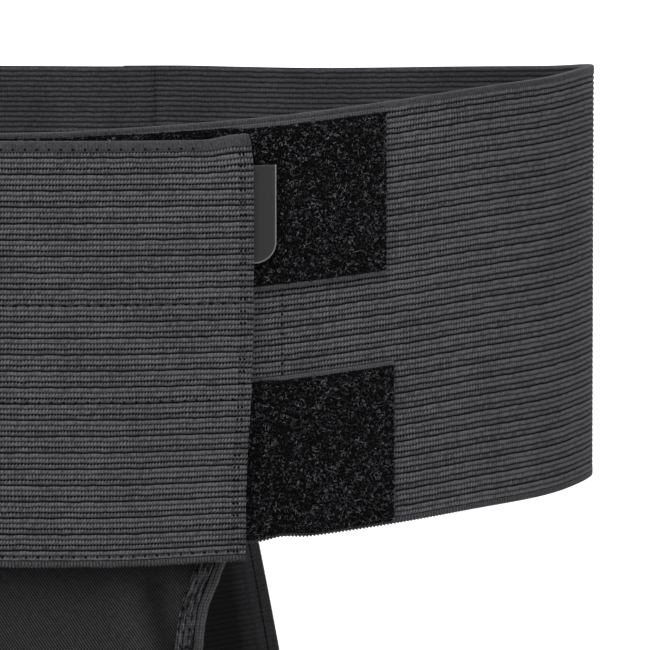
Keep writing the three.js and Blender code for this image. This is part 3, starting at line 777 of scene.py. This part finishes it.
pile_ground, tree, shader, along_mm, across_mm = cloth_material("pile_ground", 0.9, 0.0)
picks = scaled(saw(along_mm, 0.8), 0.5, scaled(saw(across_mm, 0.55), -0.4, 0.5))
grain = times(picks, scaled(noise(tree, 1500, 3), 1.6, 0.2), clamp=True)
selvedge_colour = blend_colours(grain, GROUND_BLACK, GROUND_GREY)
# Painted shade: under the nap the ground goes near black, as among the loops; bare selvedges keep their woven
# grey.
shade_under_nap = between(mesh_value(tree, "nap"), 0.02, 0.1)
colour(shader, shade_under_nap, selvedge_colour, PILE_DARK)
add_bump(shader, picks, 0.15)


def build_nap(tree, geometry, sizes):
    sown = {"Mesh": geometry, "Density": times(named(tree, "nap"), sizes["Density"]), "Seed": 7}
    points = add_node(tree, "GeometryNodeDistributePointsOnFaces", sown)
    bend = {"Resolution": 2}
    for end, sideways, ahead, up in (
        ("Start", -0.5, 0.0, -0.15), ("Middle", 0.0, 0.6, 1.9), ("End", 0.5, 0.0, -0.15)
    ):
        place = (times(sizes["Spread"], sideways), times(sizes["Spread"], ahead), times(sizes["Height"], up))
        bend[end] = add_node(tree, "ShaderNodeCombineXYZ", place).outputs[0]
    arch = add_node(tree, "GeometryNodeCurveQuadraticBezier", bend).outputs[0]
    section = {"Resolution": 3, "Radius": sizes["Thread radius"]}
    round_thread = add_node(tree, "GeometryNodeCurvePrimitiveCircle", section).outputs[0]
    swept = {"Curve": arch, "Profile Curve": round_thread, "Fill Caps": True}
    loop = add_node(tree, "GeometryNodeCurveToMesh", swept)
    leaning_ways = {0: (-NAP_TILT, -NAP_TILT, -math.pi), 1: (NAP_TILT, NAP_TILT, math.pi), "Seed": 3}
    tilt = add_node(tree, "FunctionNodeRandomValue", leaning_ways, data_type="FLOAT_VECTOR")
    tilted = add_node(tree, "FunctionNodeEulerToRotation", (tilt.outputs[0],)).outputs[0]
    turns = (points.outputs["Rotation"], tilted)
    turned = add_node(tree, "FunctionNodeRotateRotation", turns, rotation_space="LOCAL").outputs[0]
    grown = add_node(tree, "FunctionNodeRandomValue", {2: 0.62, 3: 1.0, "Seed": 5}, data_type="FLOAT")
    each = {
        "Points": points.outputs["Points"],
        "Instance": loop.outputs[0],
        "Rotation": turned,
        "Scale": grown.outputs[1],
    }
    nap = add_node(tree, "GeometryNodeInstanceOnPoints", each)
    shade = add_node(tree, "FunctionNodeRandomValue", {2: 0.0, 3: 1.0, "Seed": 11}, data_type="FLOAT")
    kept = {"Geometry": nap.outputs[0], "Name": "tone", "Value": shade.outputs[1]}
    toned = add_node(tree, "GeometryNodeStoreNamedAttribute", kept, data_type="FLOAT", domain="INSTANCE")
    real = add_node(tree, "GeometryNodeRealizeInstances", {"Geometry": toned.outputs[0]})
    finish = {"Geometry": real.outputs[0], "Material": sizes["Material"]}
    painted = add_node(tree, "GeometryNodeSetMaterial", finish)
    joined = tree.nodes.new("GeometryNodeJoinGeometry")
    tree.links.new(painted.outputs[0], joined.inputs[0])
    tree.links.new(geometry, joined.inputs[0])
    return joined.outputs[0]


nap_tree = node_modifier(
    "nap",
    {
        **{label: "NodeSocketFloat" for label in ("Density", "Spread", "Height", "Thread radius")},
        "Material": "NodeSocketMaterial",
    },
    build_nap,
)


def tape(name, start, end, low, width, inner, thickness, nap_at, material, nap_outside=True):
    """A flat tape laid round the waist line from start to end, its lower edge at a height low on the belt."""
    stations = np.linspace(start, end, round((end - start) / TAPE_STEP))
    across = np.concatenate([[0.0, 0.3], np.linspace(1.2, width - 1.2, 40), [width - 0.3, width]])
    rise = np.concatenate([[0.5], np.ones(len(across) - 2), [0.5]])
    ring = np.concatenate([across, across[::-1]])
    out = np.concatenate([0.5 + 0.5 * rise, 0.5 - 0.5 * rise[::-1]]) * thickness
    side = np.repeat([float(nap_outside), float(not nap_outside)], len(across))
    along, place = np.meshgrid(stations, ring, indexing="ij")
    drawn = seam_pull(along, low + place) if nap_outside else 0.0
    points = round_waist(along, inner + out, rise_at(along) + low + place - WEBBING_WIDTH / 2 + drawn)
    marks = {"nap": (nap_at(along, place) * side).ravel()}
    return loft(name, points, np.stack([along, place], axis=-1), marks, material)


def nap_on(width, end, low_margin, high_margin):
    """Where the nap grows: between margins in mm that change evenly along the tape, thin under the flap."""

    def nap(along, place):
        share = np.clip((along - FLAP_PAST_CENTRE) / (end - FLAP_PAST_CENTRE), 0, 1)
        low = low_margin[0] + share * (low_margin[1] - low_margin[0])
        high = high_margin[0] + share * (high_margin[1] - high_margin[0])
        high -= 0.028 * np.clip(FLAP_PAST_CENTRE - along, 0, 45)
        grows = ease(place - low, -0.4, 0.8) * ease(width - place - high, -0.4, 0.8)
        seen = np.where((along > FLAP_PAST_CENTRE - 4) | (place > width - 6), 1.0, HIDDEN_NAP)
        seam = 1 - 0.6 * np.exp(-(((along - NAP_SEAM) / 1.2) ** 2))
        worn = np.random.default_rng(4).uniform(0.55, 1.25, along.shape)
        return grows * seen * seam * worn

    return nap


upper_low = WEBBING_WIDTH - UPPER_LOOP_INSET - UPPER_LOOP_WIDTH
patch_start = LOOP_END_INSET - UNDERLAP_PAST_CENTRE
nap_sizes = {
    "density": NAP_PER_MM2 / MM**2,
    "spread": NAP_SPREAD * MM,
    "height": NAP_HEIGHT * MM,
    "thread_radius": NAP_THREAD_RADIUS * MM,
    "material": loop_pile,
}
for name, low, width, end, margins in (
    ("loop_patch_upper", upper_low, UPPER_LOOP_WIDTH, UPPER_LOOP_PAST_CENTRE, UPPER_NAP_MARGINS),
    ("loop_patch_lower", LOWER_LOOP_INSET, LOWER_LOOP_WIDTH, LOWER_LOOP_PAST_CENTRE, LOWER_NAP_MARGINS),
):
    nap = nap_on(width, end, *margins)
    patch = tape(
        "pile_" + name[5:], patch_start, end, low, width, LOOP_OFFSET, GROUND_THICKNESS, nap, pile_ground
    )
    patch.data.materials.append(loop_pile)
    set_by_nodes(patch, nap_tree, **nap_sizes)
    belong(patch, "loop_pile", name)

up_the_underlap = np.arange(2.0, WEBBING_WIDTH - 2.0, ROW_STEP)
underlap_row = row_on(place_right, NAP_SEAM, up_the_underlap, FACE)
underlap_stitches = sewn_rows("underlap_stitches", [underlap_row], SEAM_STITCH_PITCH)
belong(underlap_stitches, "webbing")


# Hook tapes: two stiff black tapes sewn under the flap, with rows of tiny hooks that point at the loop
# patches.
HOOK_WIDTH = 50.0
HOOK_LENGTH = 85.0
HOOK_END_INSET = 8.5
UPPER_HOOK_INSET = 1.3
LOWER_HOOK_INSET = 3.0
HOOK_GROUND = 0.7
HOOKS_PER_MM2 = 0.3375
HOOK_HEIGHT = 0.55
HOOK_SPREAD = 0.5
HOOK_RADIUS = 0.09
HOOK_MARGIN = 1.5
HOOK_BLACK = (0.012, 0.012, 0.013)
HOOK_GREY = (0.032, 0.032, 0.034)

hook_tape, tree, shader, along_mm, across_mm = cloth_material("hook_tape", 0.5, 0.0)
ground_ribs = saw(across_mm, 1.3)
colour(shader, ground_ribs, HOOK_BLACK, HOOK_GREY)
add_bump(shader, ground_ribs, 0.12)


def hooks_on(along, place):
    return ((place > HOOK_MARGIN) & (place < HOOK_WIDTH - HOOK_MARGIN)).astype(float)


hooks_end = FLAP_END - HOOK_END_INSET
hook_layer = (HOOK_WIDTH, HOOK_OFFSET + HOOK_THICKNESS - HOOK_GROUND, HOOK_GROUND)
hook_sizes = {
    "density": HOOKS_PER_MM2 / MM**2,
    "spread": HOOK_SPREAD * MM,
    "height": HOOK_HEIGHT * MM,
    "thread_radius": HOOK_RADIUS * MM,
    "material": hook_tape,
}
for name, low in (
    ("hook_tape_upper", WEBBING_WIDTH - UPPER_HOOK_INSET - HOOK_WIDTH),
    ("hook_tape_lower", LOWER_HOOK_INSET),
):
    hooks = tape(
        "sewn_" + name, hooks_end - HOOK_LENGTH, hooks_end, low, *hook_layer, hooks_on, hook_tape, False
    )
    set_by_nodes(hooks, nap_tree, **hook_sizes)
    belong(hooks, "hook_tape", name)


# Side label: a satin tape folded in two and caught under the flap's end, with one rounded corner. Its folded
# edge and corner carry a pale rim, painted as the highlight of the fold. It is left plain.
LABEL_SHOWN = 7.3
LABEL_HELD = 6.0
LABEL_HEIGHT = 30.0
LABEL_THICKNESS = 0.8
LABEL_CORNER = 6.5
LABEL_TOP_INSET = 8.2
LABEL_RIM = 0.6
LABEL_OFFSET = FLAP_OFFSET - WEBBING_THICKNESS / 2 - LAYER_GAP - LABEL_THICKNESS
SATIN_BLACK = (0.012, 0.012, 0.013)
SATIN_GREY = (0.030, 0.030, 0.031)
SATIN_RIM_HIGHLIGHT = (0.22, 0.22, 0.215)

satin, tree, shader, along_mm, across_mm = cloth_material("satin", 0.55, 0.06, 0.3, 0.2)
rim_mm = mesh_value(tree, "rim")
floats = saw(plus(along_mm, times(across_mm, 0.7)), 0.55)
shine = scaled(floats, 0.6, 0.4)
# Painted highlight along the folded edge and the rounded corner.
rim = less(1.0, between(rim_mm, 0.4 * LABEL_RIM, LABEL_RIM))
plain = blend_colours(shine, SATIN_BLACK, SATIN_GREY)
colour(shader, rim, plain, SATIN_RIM_HIGHLIGHT)
add_bump(shader, floats, 0.05)

label_top = WEBBING_WIDTH / 2 - LABEL_TOP_INSET
label_straight = LABEL_SHOWN - LABEL_CORNER
corner_turn = np.sin(np.linspace(0.06, math.pi / 2 - 0.02, 22))
rounded = LABEL_SHOWN - LABEL_CORNER * (1 - corner_turn)
shown = np.concatenate([np.linspace(-LABEL_HELD, label_straight, 14), rounded])
into_corner = np.clip(shown - label_straight, 0, None) / LABEL_CORNER
drop = LABEL_CORNER * (1 - np.sqrt(np.clip(1 - into_corner**2, 0, 1)))
ladder = (1 - np.cos(np.linspace(0, math.pi, 44))) / 2
shown_grid, share = np.meshgrid(shown, np.concatenate([ladder, ladder[::-1]]), indexing="ij")
bottom = (label_top - LABEL_HEIGHT + drop)[:, None]
height = bottom + share * (label_top - bottom)
corner_x = np.clip(shown_grid - label_straight, 0, None)
corner_y = np.clip(label_top - LABEL_HEIGHT + LABEL_CORNER - height, 0, None)
rim_distance = np.clip(LABEL_CORNER - np.hypot(corner_x, corner_y), 0, None)
edge_distance = np.minimum(rim_distance, np.clip(label_top - height, 0, None))
swell = np.sqrt(np.clip(1 - (1 - np.clip(edge_distance / 0.5, 0, 1)) ** 2, 0, 1))
front = np.concatenate([np.ones(len(ladder)), -np.ones(len(ladder))])[None, :]
fold = 0.12 * np.exp(-(((rim_distance - 0.5) / 0.45) ** 2))
offset = LABEL_OFFSET + LABEL_THICKNESS / 2 + front * (0.5 * LABEL_THICKNESS * (0.15 + 0.85 * swell) + fold)
along = FLAP_END + shown_grid
label_points = round_waist(along, offset, rise_at(along) + height)
label_flat = np.stack([shown_grid, height], axis=-1)
label = loft("woven_label", label_points, label_flat, {"rim": rim_distance.ravel()}, satin)
belong(label, "satin", "side_label")


# Rear panel: the same webbing cut short and spread like a fan, sewn inside the belt's back. Its two sides are
# folded to the inside and hemmed, and flare outwards on the way down.
REAR_TOP_HALF_WIDTH = 50.0
REAR_FLARE = math.radians(14)
REAR_LEAN = math.radians(10)
REAR_OVERLAP = 12.0
REAR_HEM_WIDTH = 5.0
REAR_HEM_EXTRA = 1.4
# Painted shadow: the rear panel's inner face is drawn very dark, as the shade behind the pouch; its hems less
# dark.
REAR_PAINTED_SHADOW = 0.055
REAR_HEM_PAINTED_SHADE = 0.46
REAR_HEM_STITCH_INSET = 2.3
REAR_HEM_STITCH_PITCH = 2.6
REAR_HEM_STEPS = (-0.3, 0.0, 0.3, 1.6, 3.4, 4.4, 4.8)
REAR_SEWN_OFFSET = WEBBING_THICKNESS + LAYER_GAP
REAR_TOP = REAR_OVERLAP - WEBBING_WIDTH / 2
REAR_RADIUS = REAR_TOP_HALF_WIDTH / math.sin(REAR_FLARE)


def rear_offset(height):
    return -REAR_SEWN_OFFSET - np.clip(-WEBBING_WIDTH / 2 - height, 0, None) * math.tan(REAR_LEAN)


def place_rear(along, across, offset):
    """along is a place's distance in mm from the panel's middle, measured at its top edge."""
    column = along / REAR_TOP_HALF_WIDTH
    radius = REAR_RADIUS + WEBBING_WIDTH - across
    sideways = radius * np.sin(column * REAR_FLARE)
    height = REAR_TOP + REAR_RADIUS - radius * np.cos(column * REAR_FLARE)
    hem_step = REAR_TOP_HALF_WIDTH - REAR_HEM_WIDTH
    in_hem = ease(np.abs(along), hem_step - 0.25, hem_step + 0.25)
    thicker = np.where(offset < 0, -REAR_HEM_EXTRA * in_hem, 0.0)
    rounded = 1 - 0.5 * ease(np.abs(along), REAR_TOP_HALF_WIDTH - 0.7, REAR_TOP_HALF_WIDTH) ** 2
    return round_waist(BACK_CENTRE - sideways, rear_offset(height) + (offset + thicker) * rounded, height)


hem_line = REAR_TOP_HALF_WIDTH - REAR_HEM_WIDTH
in_the_hem = hem_line + np.array(REAR_HEM_STEPS)
right_half = np.concatenate([np.arange(1.5, hem_line - 1, 3), in_the_hem, [REAR_TOP_HALF_WIDTH]])
rear_stations = np.concatenate([-right_half[::-1], right_half])
# Painted shadow on the panel's ribs, with less of it on the hems.
in_hem = ease(np.abs(rear_stations), hem_line - 4.0, hem_line + 0.5)[:, None]
rear_painted_shade = REAR_PAINTED_SHADOW + (REAR_HEM_PAINTED_SHADE - REAR_PAINTED_SHADOW) * in_hem
rear = webbing_piece("rear_webbing", rear_stations, place_rear, rear_painted_shade, plain=0.2 + 0.6 * in_hem)
belong(rear, "webbing", "rear_panel")

hem_seam = REAR_TOP_HALF_WIDTH - REAR_HEM_STITCH_INSET
up_the_hem = np.arange(3.0, WEBBING_WIDTH - 3.0, ROW_STEP)
rear_rows = [row_on(place_rear, side * hem_seam, up_the_hem, -FACE) for side in (-1, 1)]
rear_rows = [(points, 2 * points - outside) for points, outside in rear_rows]
rear_stitches = sewn_rows(
    "hem_stitches", rear_rows, REAR_HEM_STITCH_PITCH, (1.9, 0.5, 0.3), (1.2, 0.7, 0.4), needle_hole
)
belong(rear_stitches, "webbing")


# Pouch: a strip of black cotton twill sewn inside the underlap. It is cupped in front, narrows between the
# legs and is sewn inside the rear panel's lower edge. Soft folds run down from its gathered top.
POUCH_THICKNESS = 1.2
POUCH_TOP_HALF_WIDTH = 50.0
POUCH_OVERLAP = 12.0
POUCH_REAR_OVERLAP = 12.0
POUCH_REAR_GAP = 0.8
POUCH_BLEND_LENGTH = 50.0
CROTCH_DROP = 250.0
FOLD_DEPTH = 2.2
HANGING_FOLD_DEPTH = 1.2
FOLD_SHADE = 0.6
BINDING_WIDTH = 8.0
BINDING_WALL = 0.9
BINDING_CLEARANCE = 0.4
GATHER_DEPTH = 0.5
TWILL_PITCH = 0.92
TWILL_BLACK = (0.0016, 0.0016, 0.0020)
TWILL_GREY = (0.056, 0.055, 0.058)
POUCH_STATIONS = 230
POUCH_COLUMNS = 85
POUCH_LINE_ROWS = [
    {"depth": -1.0, "drop": 0.38},
    {"depth": -1.01, "drop": 0.52},
    {"depth": -0.93, "drop": 0.7},
    {"depth": -0.71, "drop": 0.87},
    {"depth": -0.36, "drop": 0.975},
    {"depth": 0.0, "drop": 1.0},
    {"depth": 0.34, "drop": 0.96},
    {"depth": 0.56, "drop": 0.87},
]
POUCH_WIDTH_ROWS = [
    {"along": 0.0, "half": 1.1, "cup": 0.3},
    {"along": 0.023, "half": 1.055, "cup": 0.3},
    {"along": 0.045, "half": 0.995, "cup": 0.35},
    {"along": 0.071, "half": 0.925, "cup": 0.42},
    {"along": 0.12, "half": 0.887, "cup": 0.62},
    {"along": 0.2, "half": 0.845, "cup": 0.9},
    {"along": 0.3, "half": 0.73, "cup": 1.05},
    {"along": 0.42, "half": 0.58, "cup": 0.95},
    {"along": 0.58, "half": 0.5, "cup": 0.6},
    {"along": 0.78, "half": 0.52, "cup": 0.35},
    {"along": 1.0, "half": 0.6, "cup": 0.2},
]
FOLD_ROWS = [
    {"across": 0.64, "spread": 0.17, "depth": 1.0, "from": 0.03, "to": 0.3},
    {"across": 0.2, "spread": 0.24, "depth": -0.5, "from": 0.06, "to": 0.34},
    {"across": -0.3, "spread": 0.2, "depth": 0.8, "from": 0.05, "to": 0.36},
    {"across": -0.7, "spread": 0.16, "depth": 0.7, "from": 0.04, "to": 0.24},
]
BINDING_HALF = POUCH_THICKNESS / 2 + BINDING_CLEARANCE + BINDING_WALL
POUCH_FRONT_OFFSET = -WEBBING_THICKNESS / 2 - LAYER_GAP - BINDING_HALF - GATHER_DEPTH
POUCH_REAR_INSET = WEBBING_THICKNESS / 2 + POUCH_REAR_GAP + BINDING_HALF + GATHER_DEPTH
POUCH_TOP = POUCH_OVERLAP - WEBBING_WIDTH / 2
REAR_BOTTOM = REAR_TOP - WEBBING_WIDTH


def front_sewn(across, height):
    return round_waist(across, POUCH_FRONT_OFFSET, height)


def rear_sewn(across, height):
    return round_waist(BACK_CENTRE - across, rear_offset(height) - POUCH_REAR_INSET, height)


knots = np.array(
    [front_sewn(0, POUCH_TOP), front_sewn(0, -WEBBING_WIDTH / 2)]
    + [(0, row["depth"] * WAIST_HALF_DEPTH, -row["drop"] * CROTCH_DROP) for row in POUCH_LINE_ROWS]
    + [rear_sewn(0, REAR_BOTTOM), rear_sewn(0, REAR_BOTTOM + POUCH_REAR_OVERLAP)]
)
knots = np.concatenate([[2 * knots[0] - knots[1]], knots, [2 * knots[-1] - knots[-2]]])
fine = []
for before, start, end, after in zip(knots, knots[1:], knots[2:], knots[3:]):
    first, span, last = (
        math.sqrt(np.linalg.norm(b - a)) for a, b in ((before, start), (start, end), (end, after))
    )
    leave = span * ((start - before) / first - (end - before) / (first + span) + (end - start) / span)
    arrive = span * ((end - start) / span - (after - start) / (span + last) + (after - end) / last)
    t = np.linspace(0, 1, 60, endpoint=False)[:, None]
    rest = (1 - t) ** 2
    fine.append(
        start * (1 + 2 * t) * rest + leave * t * rest + end * t * t * (3 - 2 * t) + arrive * t * t * (t - 1)
    )
fine = np.concatenate(fine + [knots[-2][None, :]])
run = np.concatenate([[0], np.cumsum(np.linalg.norm(np.diff(fine, axis=0), axis=1))])
POUCH_LENGTH = run[-1]
fine_tangent = np.gradient(fine, run, axis=0)
fine_tangent /= np.linalg.norm(fine_tangent, axis=1, keepdims=True)


def pouch_half(share):
    cut = POUCH_TOP_HALF_WIDTH * smooth_value(POUCH_WIDTH_ROWS, "along", "half", share)
    return cut - BINDING_WALL - BINDING_CLEARANCE


def fold_depth(share, across):
    total = np.zeros(np.broadcast(share, across).shape)
    for row in FOLD_ROWS:
        shows = np.clip((share - row["from"]) / (row["to"] - row["from"]), 0, 1)
        bell = (1 + np.cos(math.pi * np.clip(np.abs(across - row["across"]) / row["spread"], 0, 1))) / 2
        total += row["depth"] * FOLD_DEPTH * np.sin(math.pi * shows) * bell
    return total


def puckers(share, across):
    """The small waves in mm that the gathered bindings draw into the twill beside them."""
    edge = pouch_half(share)
    from_binding = edge * (1 - np.abs(across)) - BINDING_WIDTH
    place = share * POUCH_LENGTH
    wave = np.sin(place / 1.05 + 1.4 * np.sin(place / 7.0)) + 0.6 * np.sin(place / 2.3 + 0.7)
    return 0.16 * wave * np.exp(-((np.clip(from_binding, 0, None) / 3.5) ** 2)) * (from_binding > -0.5)


def hanging_fold(share, across):
    """How deep, from 0 to 1, a place lies in the fold that runs down beside the right binding."""
    middle = 0.57 + 3.2 * (share - 0.04)
    bell = np.exp(-(((across - middle) / 0.1) ** 2))
    return bell * ease(share, 0.025, 0.06) * ease(share, 0.22, 0.12)


def pouch_point(share, across):
    share, across = np.broadcast_arrays(np.asarray(share, dtype=float), np.asarray(across, dtype=float))
    edge = pouch_half(share)
    turn = smooth_value(POUCH_WIDTH_ROWS, "along", "cup", share)
    centre = np.stack([np.interp(share * POUCH_LENGTH, run, fine[:, i]) for i in range(3)], axis=-1)
    tangent = np.stack([np.interp(share * POUCH_LENGTH, run, fine_tangent[:, i]) for i in range(3)], axis=-1)
    out = np.stack([np.zeros(share.shape), tangent[..., 2], -tangent[..., 1]], axis=-1)
    radius = edge / turn
    cupped = centre + out * (radius * (np.cos(across * turn) - 1) - fold_depth(share, across))[..., None]
    cupped[..., 0] += radius * np.sin(across * turn)
    front = 1 - ease(share * POUCH_LENGTH - POUCH_OVERLAP, 0, POUCH_BLEND_LENGTH)[..., None]
    rear_share = 1 - ease((1 - share) * POUCH_LENGTH - POUCH_REAR_OVERLAP, 0, POUCH_BLEND_LENGTH)[..., None]
    cupped += front * (front_sewn(across * edge, centre[..., 2]) - cupped)
    return cupped + rear_share * (rear_sewn(across * edge, centre[..., 2]) - cupped)


def pouch_out(share, across):
    further, nearer = np.clip(share + 1e-3, 0, 1), np.clip(share - 1e-3, 0, 1)
    ahead = pouch_point(further, across) - pouch_point(nearer, across)
    beside = pouch_point(share, across + 0.01) - pouch_point(share, across - 0.01)
    out = -np.cross(beside, ahead)
    return out / np.linalg.norm(out, axis=-1, keepdims=True)


twill, tree, shader, along_mm, across_mm = cloth_material("twill", 0.85, 0.05)
slant = scaled(along_mm, -0.66, across_mm)
wale = saw(slant, TWILL_PITCH)
pick = saw(along_mm, 0.62)
thread_height = less(scaled(wale, -1.0, 1.0), times(pick, 0.18))
lint_and_painted_shading = noise(tree, 700, 3)
# Painted shade and highlight from the mesh: darker under the flap and in the fold, lighter beside the fold.
painted_shading_share = mesh_value(tree, "open")
lint_and_painted_shading = times(scaled(lint_and_painted_shading, 1.0, 0.45), painted_shading_share)
shade = times(thread_height, lint_and_painted_shading, clamp=True)
colour(shader, shade, TWILL_BLACK, TWILL_GREY)
add_bump(shader, thread_height, 0.16)

columns = np.linspace(-1, 1, POUCH_COLUMNS)
share = np.linspace(0, 1, POUCH_STATIONS)[:, None] * np.ones((1, 2 * len(columns)))
across = np.concatenate([columns, columns[::-1]])[None, :] * np.ones((POUCH_STATIONS, 1))
face = np.concatenate([-np.ones(len(columns)), np.ones(len(columns))])[None, :, None] * POUCH_THICKNESS / 2
out = pouch_out(share, across)
edge_round = np.where(np.abs(across) > 0.999, 0.4, 1.0)[..., None]
in_fold = hanging_fold(share, across)
ripples = puckers(share, across) - HANGING_FOLD_DEPTH * in_fold
pouch_points = pouch_point(share, across) + out * (face * edge_round + ripples[..., None])
pouch_flat = np.stack([share * POUCH_LENGTH, across * pouch_half(share)], axis=-1)
# Painted shadow and highlight: darker just under the flap and in the fold's valley, lighter on the ridges
# beside it.
below_flap = ease(share * POUCH_LENGTH, POUCH_OVERLAP - 1.0, POUCH_OVERLAP + 7.0)
beside_fold = hanging_fold(share, across - 0.17) + hanging_fold(share, across + 0.2)
light_reached = (1 - FOLD_SHADE * in_fold + 0.25 * beside_fold) * (0.3 + 0.7 * below_flap)
pouch = loft("twill_pouch", pouch_points, pouch_flat, {"open": light_reached.ravel()}, twill)
belong(pouch, "twill", "pouch")
pouch_area = 2 * float(pouch_half(np.linspace(0, 1, 500)).mean()) * POUCH_LENGTH * MM**2


# Bindings: a ribbed elastic tape folded over each leg edge of the pouch and stretched while it was sewn, so
# that it gathers the twill and its own ribs waver.
BINDING_RIB = 1.65
BINDING_STEP = 0.8
PIPING_WIDTH = 2.3
BINDING_BLACK = (0.0015, 0.0015, 0.0018)
BINDING_GREY = (0.128, 0.128, 0.137)
ROUGHNESS_MM = 0.2

binding, tree, shader, along_mm, across_mm = cloth_material("binding", 0.8, 0.05)
strand = saw(across_mm, BINDING_RIB / 2)
loops = saw(along_mm, 1.0)
cord = times(scaled(strand, -0.75, 1.0), scaled(loops, -0.45, 1.0))
# Painted shade and highlight: darker in the crumples' hollows and the piping crease, lighter on raised ribs.
painted_crumple_shade = mesh_value(tree, "painted_crumple_shade")
speck_and_crumple_shade = times(scaled(noise(tree, 1100, 3), 1.5, 0.2), painted_crumple_shade)
colour(shader, times(cord, speck_and_crumple_shade, clamp=True), BINDING_BLACK, BINDING_GREY)
add_bump(shader, cord, 0.25)


def binding_loop():
    """The binding's section: places past the pouch's edge, out of its face, and how much each gathers."""
    inner = POUCH_THICKNESS / 2 + 0.15
    outer = inner + BINDING_WALL
    down = np.concatenate([np.linspace(-BINDING_WIDTH, -2.9, 19), [-2.65, -2.45, -2.3, -2.15, -1.9, -1.5]])
    round_edge = np.linspace(0.8 * math.pi, -0.8 * math.pi, 17)
    face = [(x, outer - 0.5 * math.exp(-(((x + BINDING_WIDTH) / 0.3) ** 2)), 1.0) for x in down]
    rows = [(-BINDING_WIDTH + 0.1, inner, 0.3)] + face + [(-1.25, outer - 0.35, 1.0)]
    rows += [(-0.1 + 1.4 * math.cos(a), 1.15 * outer * math.sin(a), 0.6) for a in round_edge]
    rows += [(-1.25, 0.35 - outer, 1.0)] + [(x, -y, gather) for x, y, gather in face[::-3]]
    rows += [(-BINDING_WIDTH + 0.1, -inner, 0.3), (0.2, -inner, 0.0), (0.2, inner, 0.0)]
    return np.array(rows)


def gathers(place, x):
    """Uneven crumples in mm of the stretched tape at a place along it."""
    slow = np.sin(place / 1.9 + 1.6 * np.sin(place / 9.0) + 0.5 * x)
    fast = np.sin(place / 0.72 + 2.0 * np.sin(place / 5.3) - 1.1 * x + 1.5 * np.sin(x * 1.3 + place / 3.1))
    return 0.3 * slow * (0.6 + 0.4 * np.sin(place / 11.0 + x)) + 0.24 * fast


for name, side in (("binding_right", 1), ("binding_left", -1)):
    loop = binding_loop()
    stations = np.linspace(0, 1, round(POUCH_LENGTH / BINDING_STEP))
    share, past = np.meshgrid(stations, loop[:, 0], indexing="ij")
    place = share * POUCH_LENGTH
    outwards = np.broadcast_to(loop[:, 1], share.shape)
    gather = np.broadcast_to(loop[:, 2], share.shape)
    edge = pouch_half(share)
    on_cloth = pouch_point(share, side * (1 + np.minimum(past, 0) / edge))
    edge_point = pouch_point(share, side * np.ones(share.shape))
    beyond = edge_point - pouch_point(share, side * (1 - 1 / edge))
    out = pouch_out(share, side * np.clip(1 + np.minimum(past, 0) / edge, 0, 1))
    piped = ease(past, -PIPING_WIDTH - 0.25, -PIPING_WIDTH + 0.25)
    crease = np.exp(-(((past + PIPING_WIDTH) / 0.28) ** 2)) * (gather > 0)
    wandering = past + 0.3 * np.sin(place / 2.7)
    ribs = 0.26 * np.cos(2 * math.pi * wandering / BINDING_RIB) * (1 - piped) * gather
    ruffle = gathers(place, past) * gather
    rough = np.random.default_rng(9).normal(0, ROUGHNESS_MM, share.shape) * gather * (1 - piped)
    crumple = ruffle * (1.4 - 1.25 * piped) - 0.55 * crease + rough
    # Painted shade and highlight that follow the crumples, ribs and crease.
    raised = 0.6 + 1.2 * (ribs + ruffle * (1 - piped)) + 1.6 * rough + 0.25 * piped - 0.9 * crease
    painted_crumple_shade = np.clip(raised, 0.03, 1.4)
    sway = 0.5 * np.sin(place / 6.1 + 0.6) + 0.35 * np.sin(place / 3.4 + 2.1)
    swaying = 0.7 * sway + 0.4 * gathers(place * 0.9 + 3, 0 * past)
    sideways = np.clip(past, 0, None) + gather * swaying * ease(past, -5, 1)
    points = on_cloth + beyond * sideways[..., None]
    points = points + out * (outwards + np.sign(outwards) * ribs + crumple)[..., None]
    flat_mm = np.stack([place, past], axis=-1)
    strip = loft("gathered_" + name, points, flat_mm, {"painted_crumple_shade": painted_crumple_shade.ravel()}, binding)
    belong(strip, "binding", name)


bpy.context.view_layer.update()
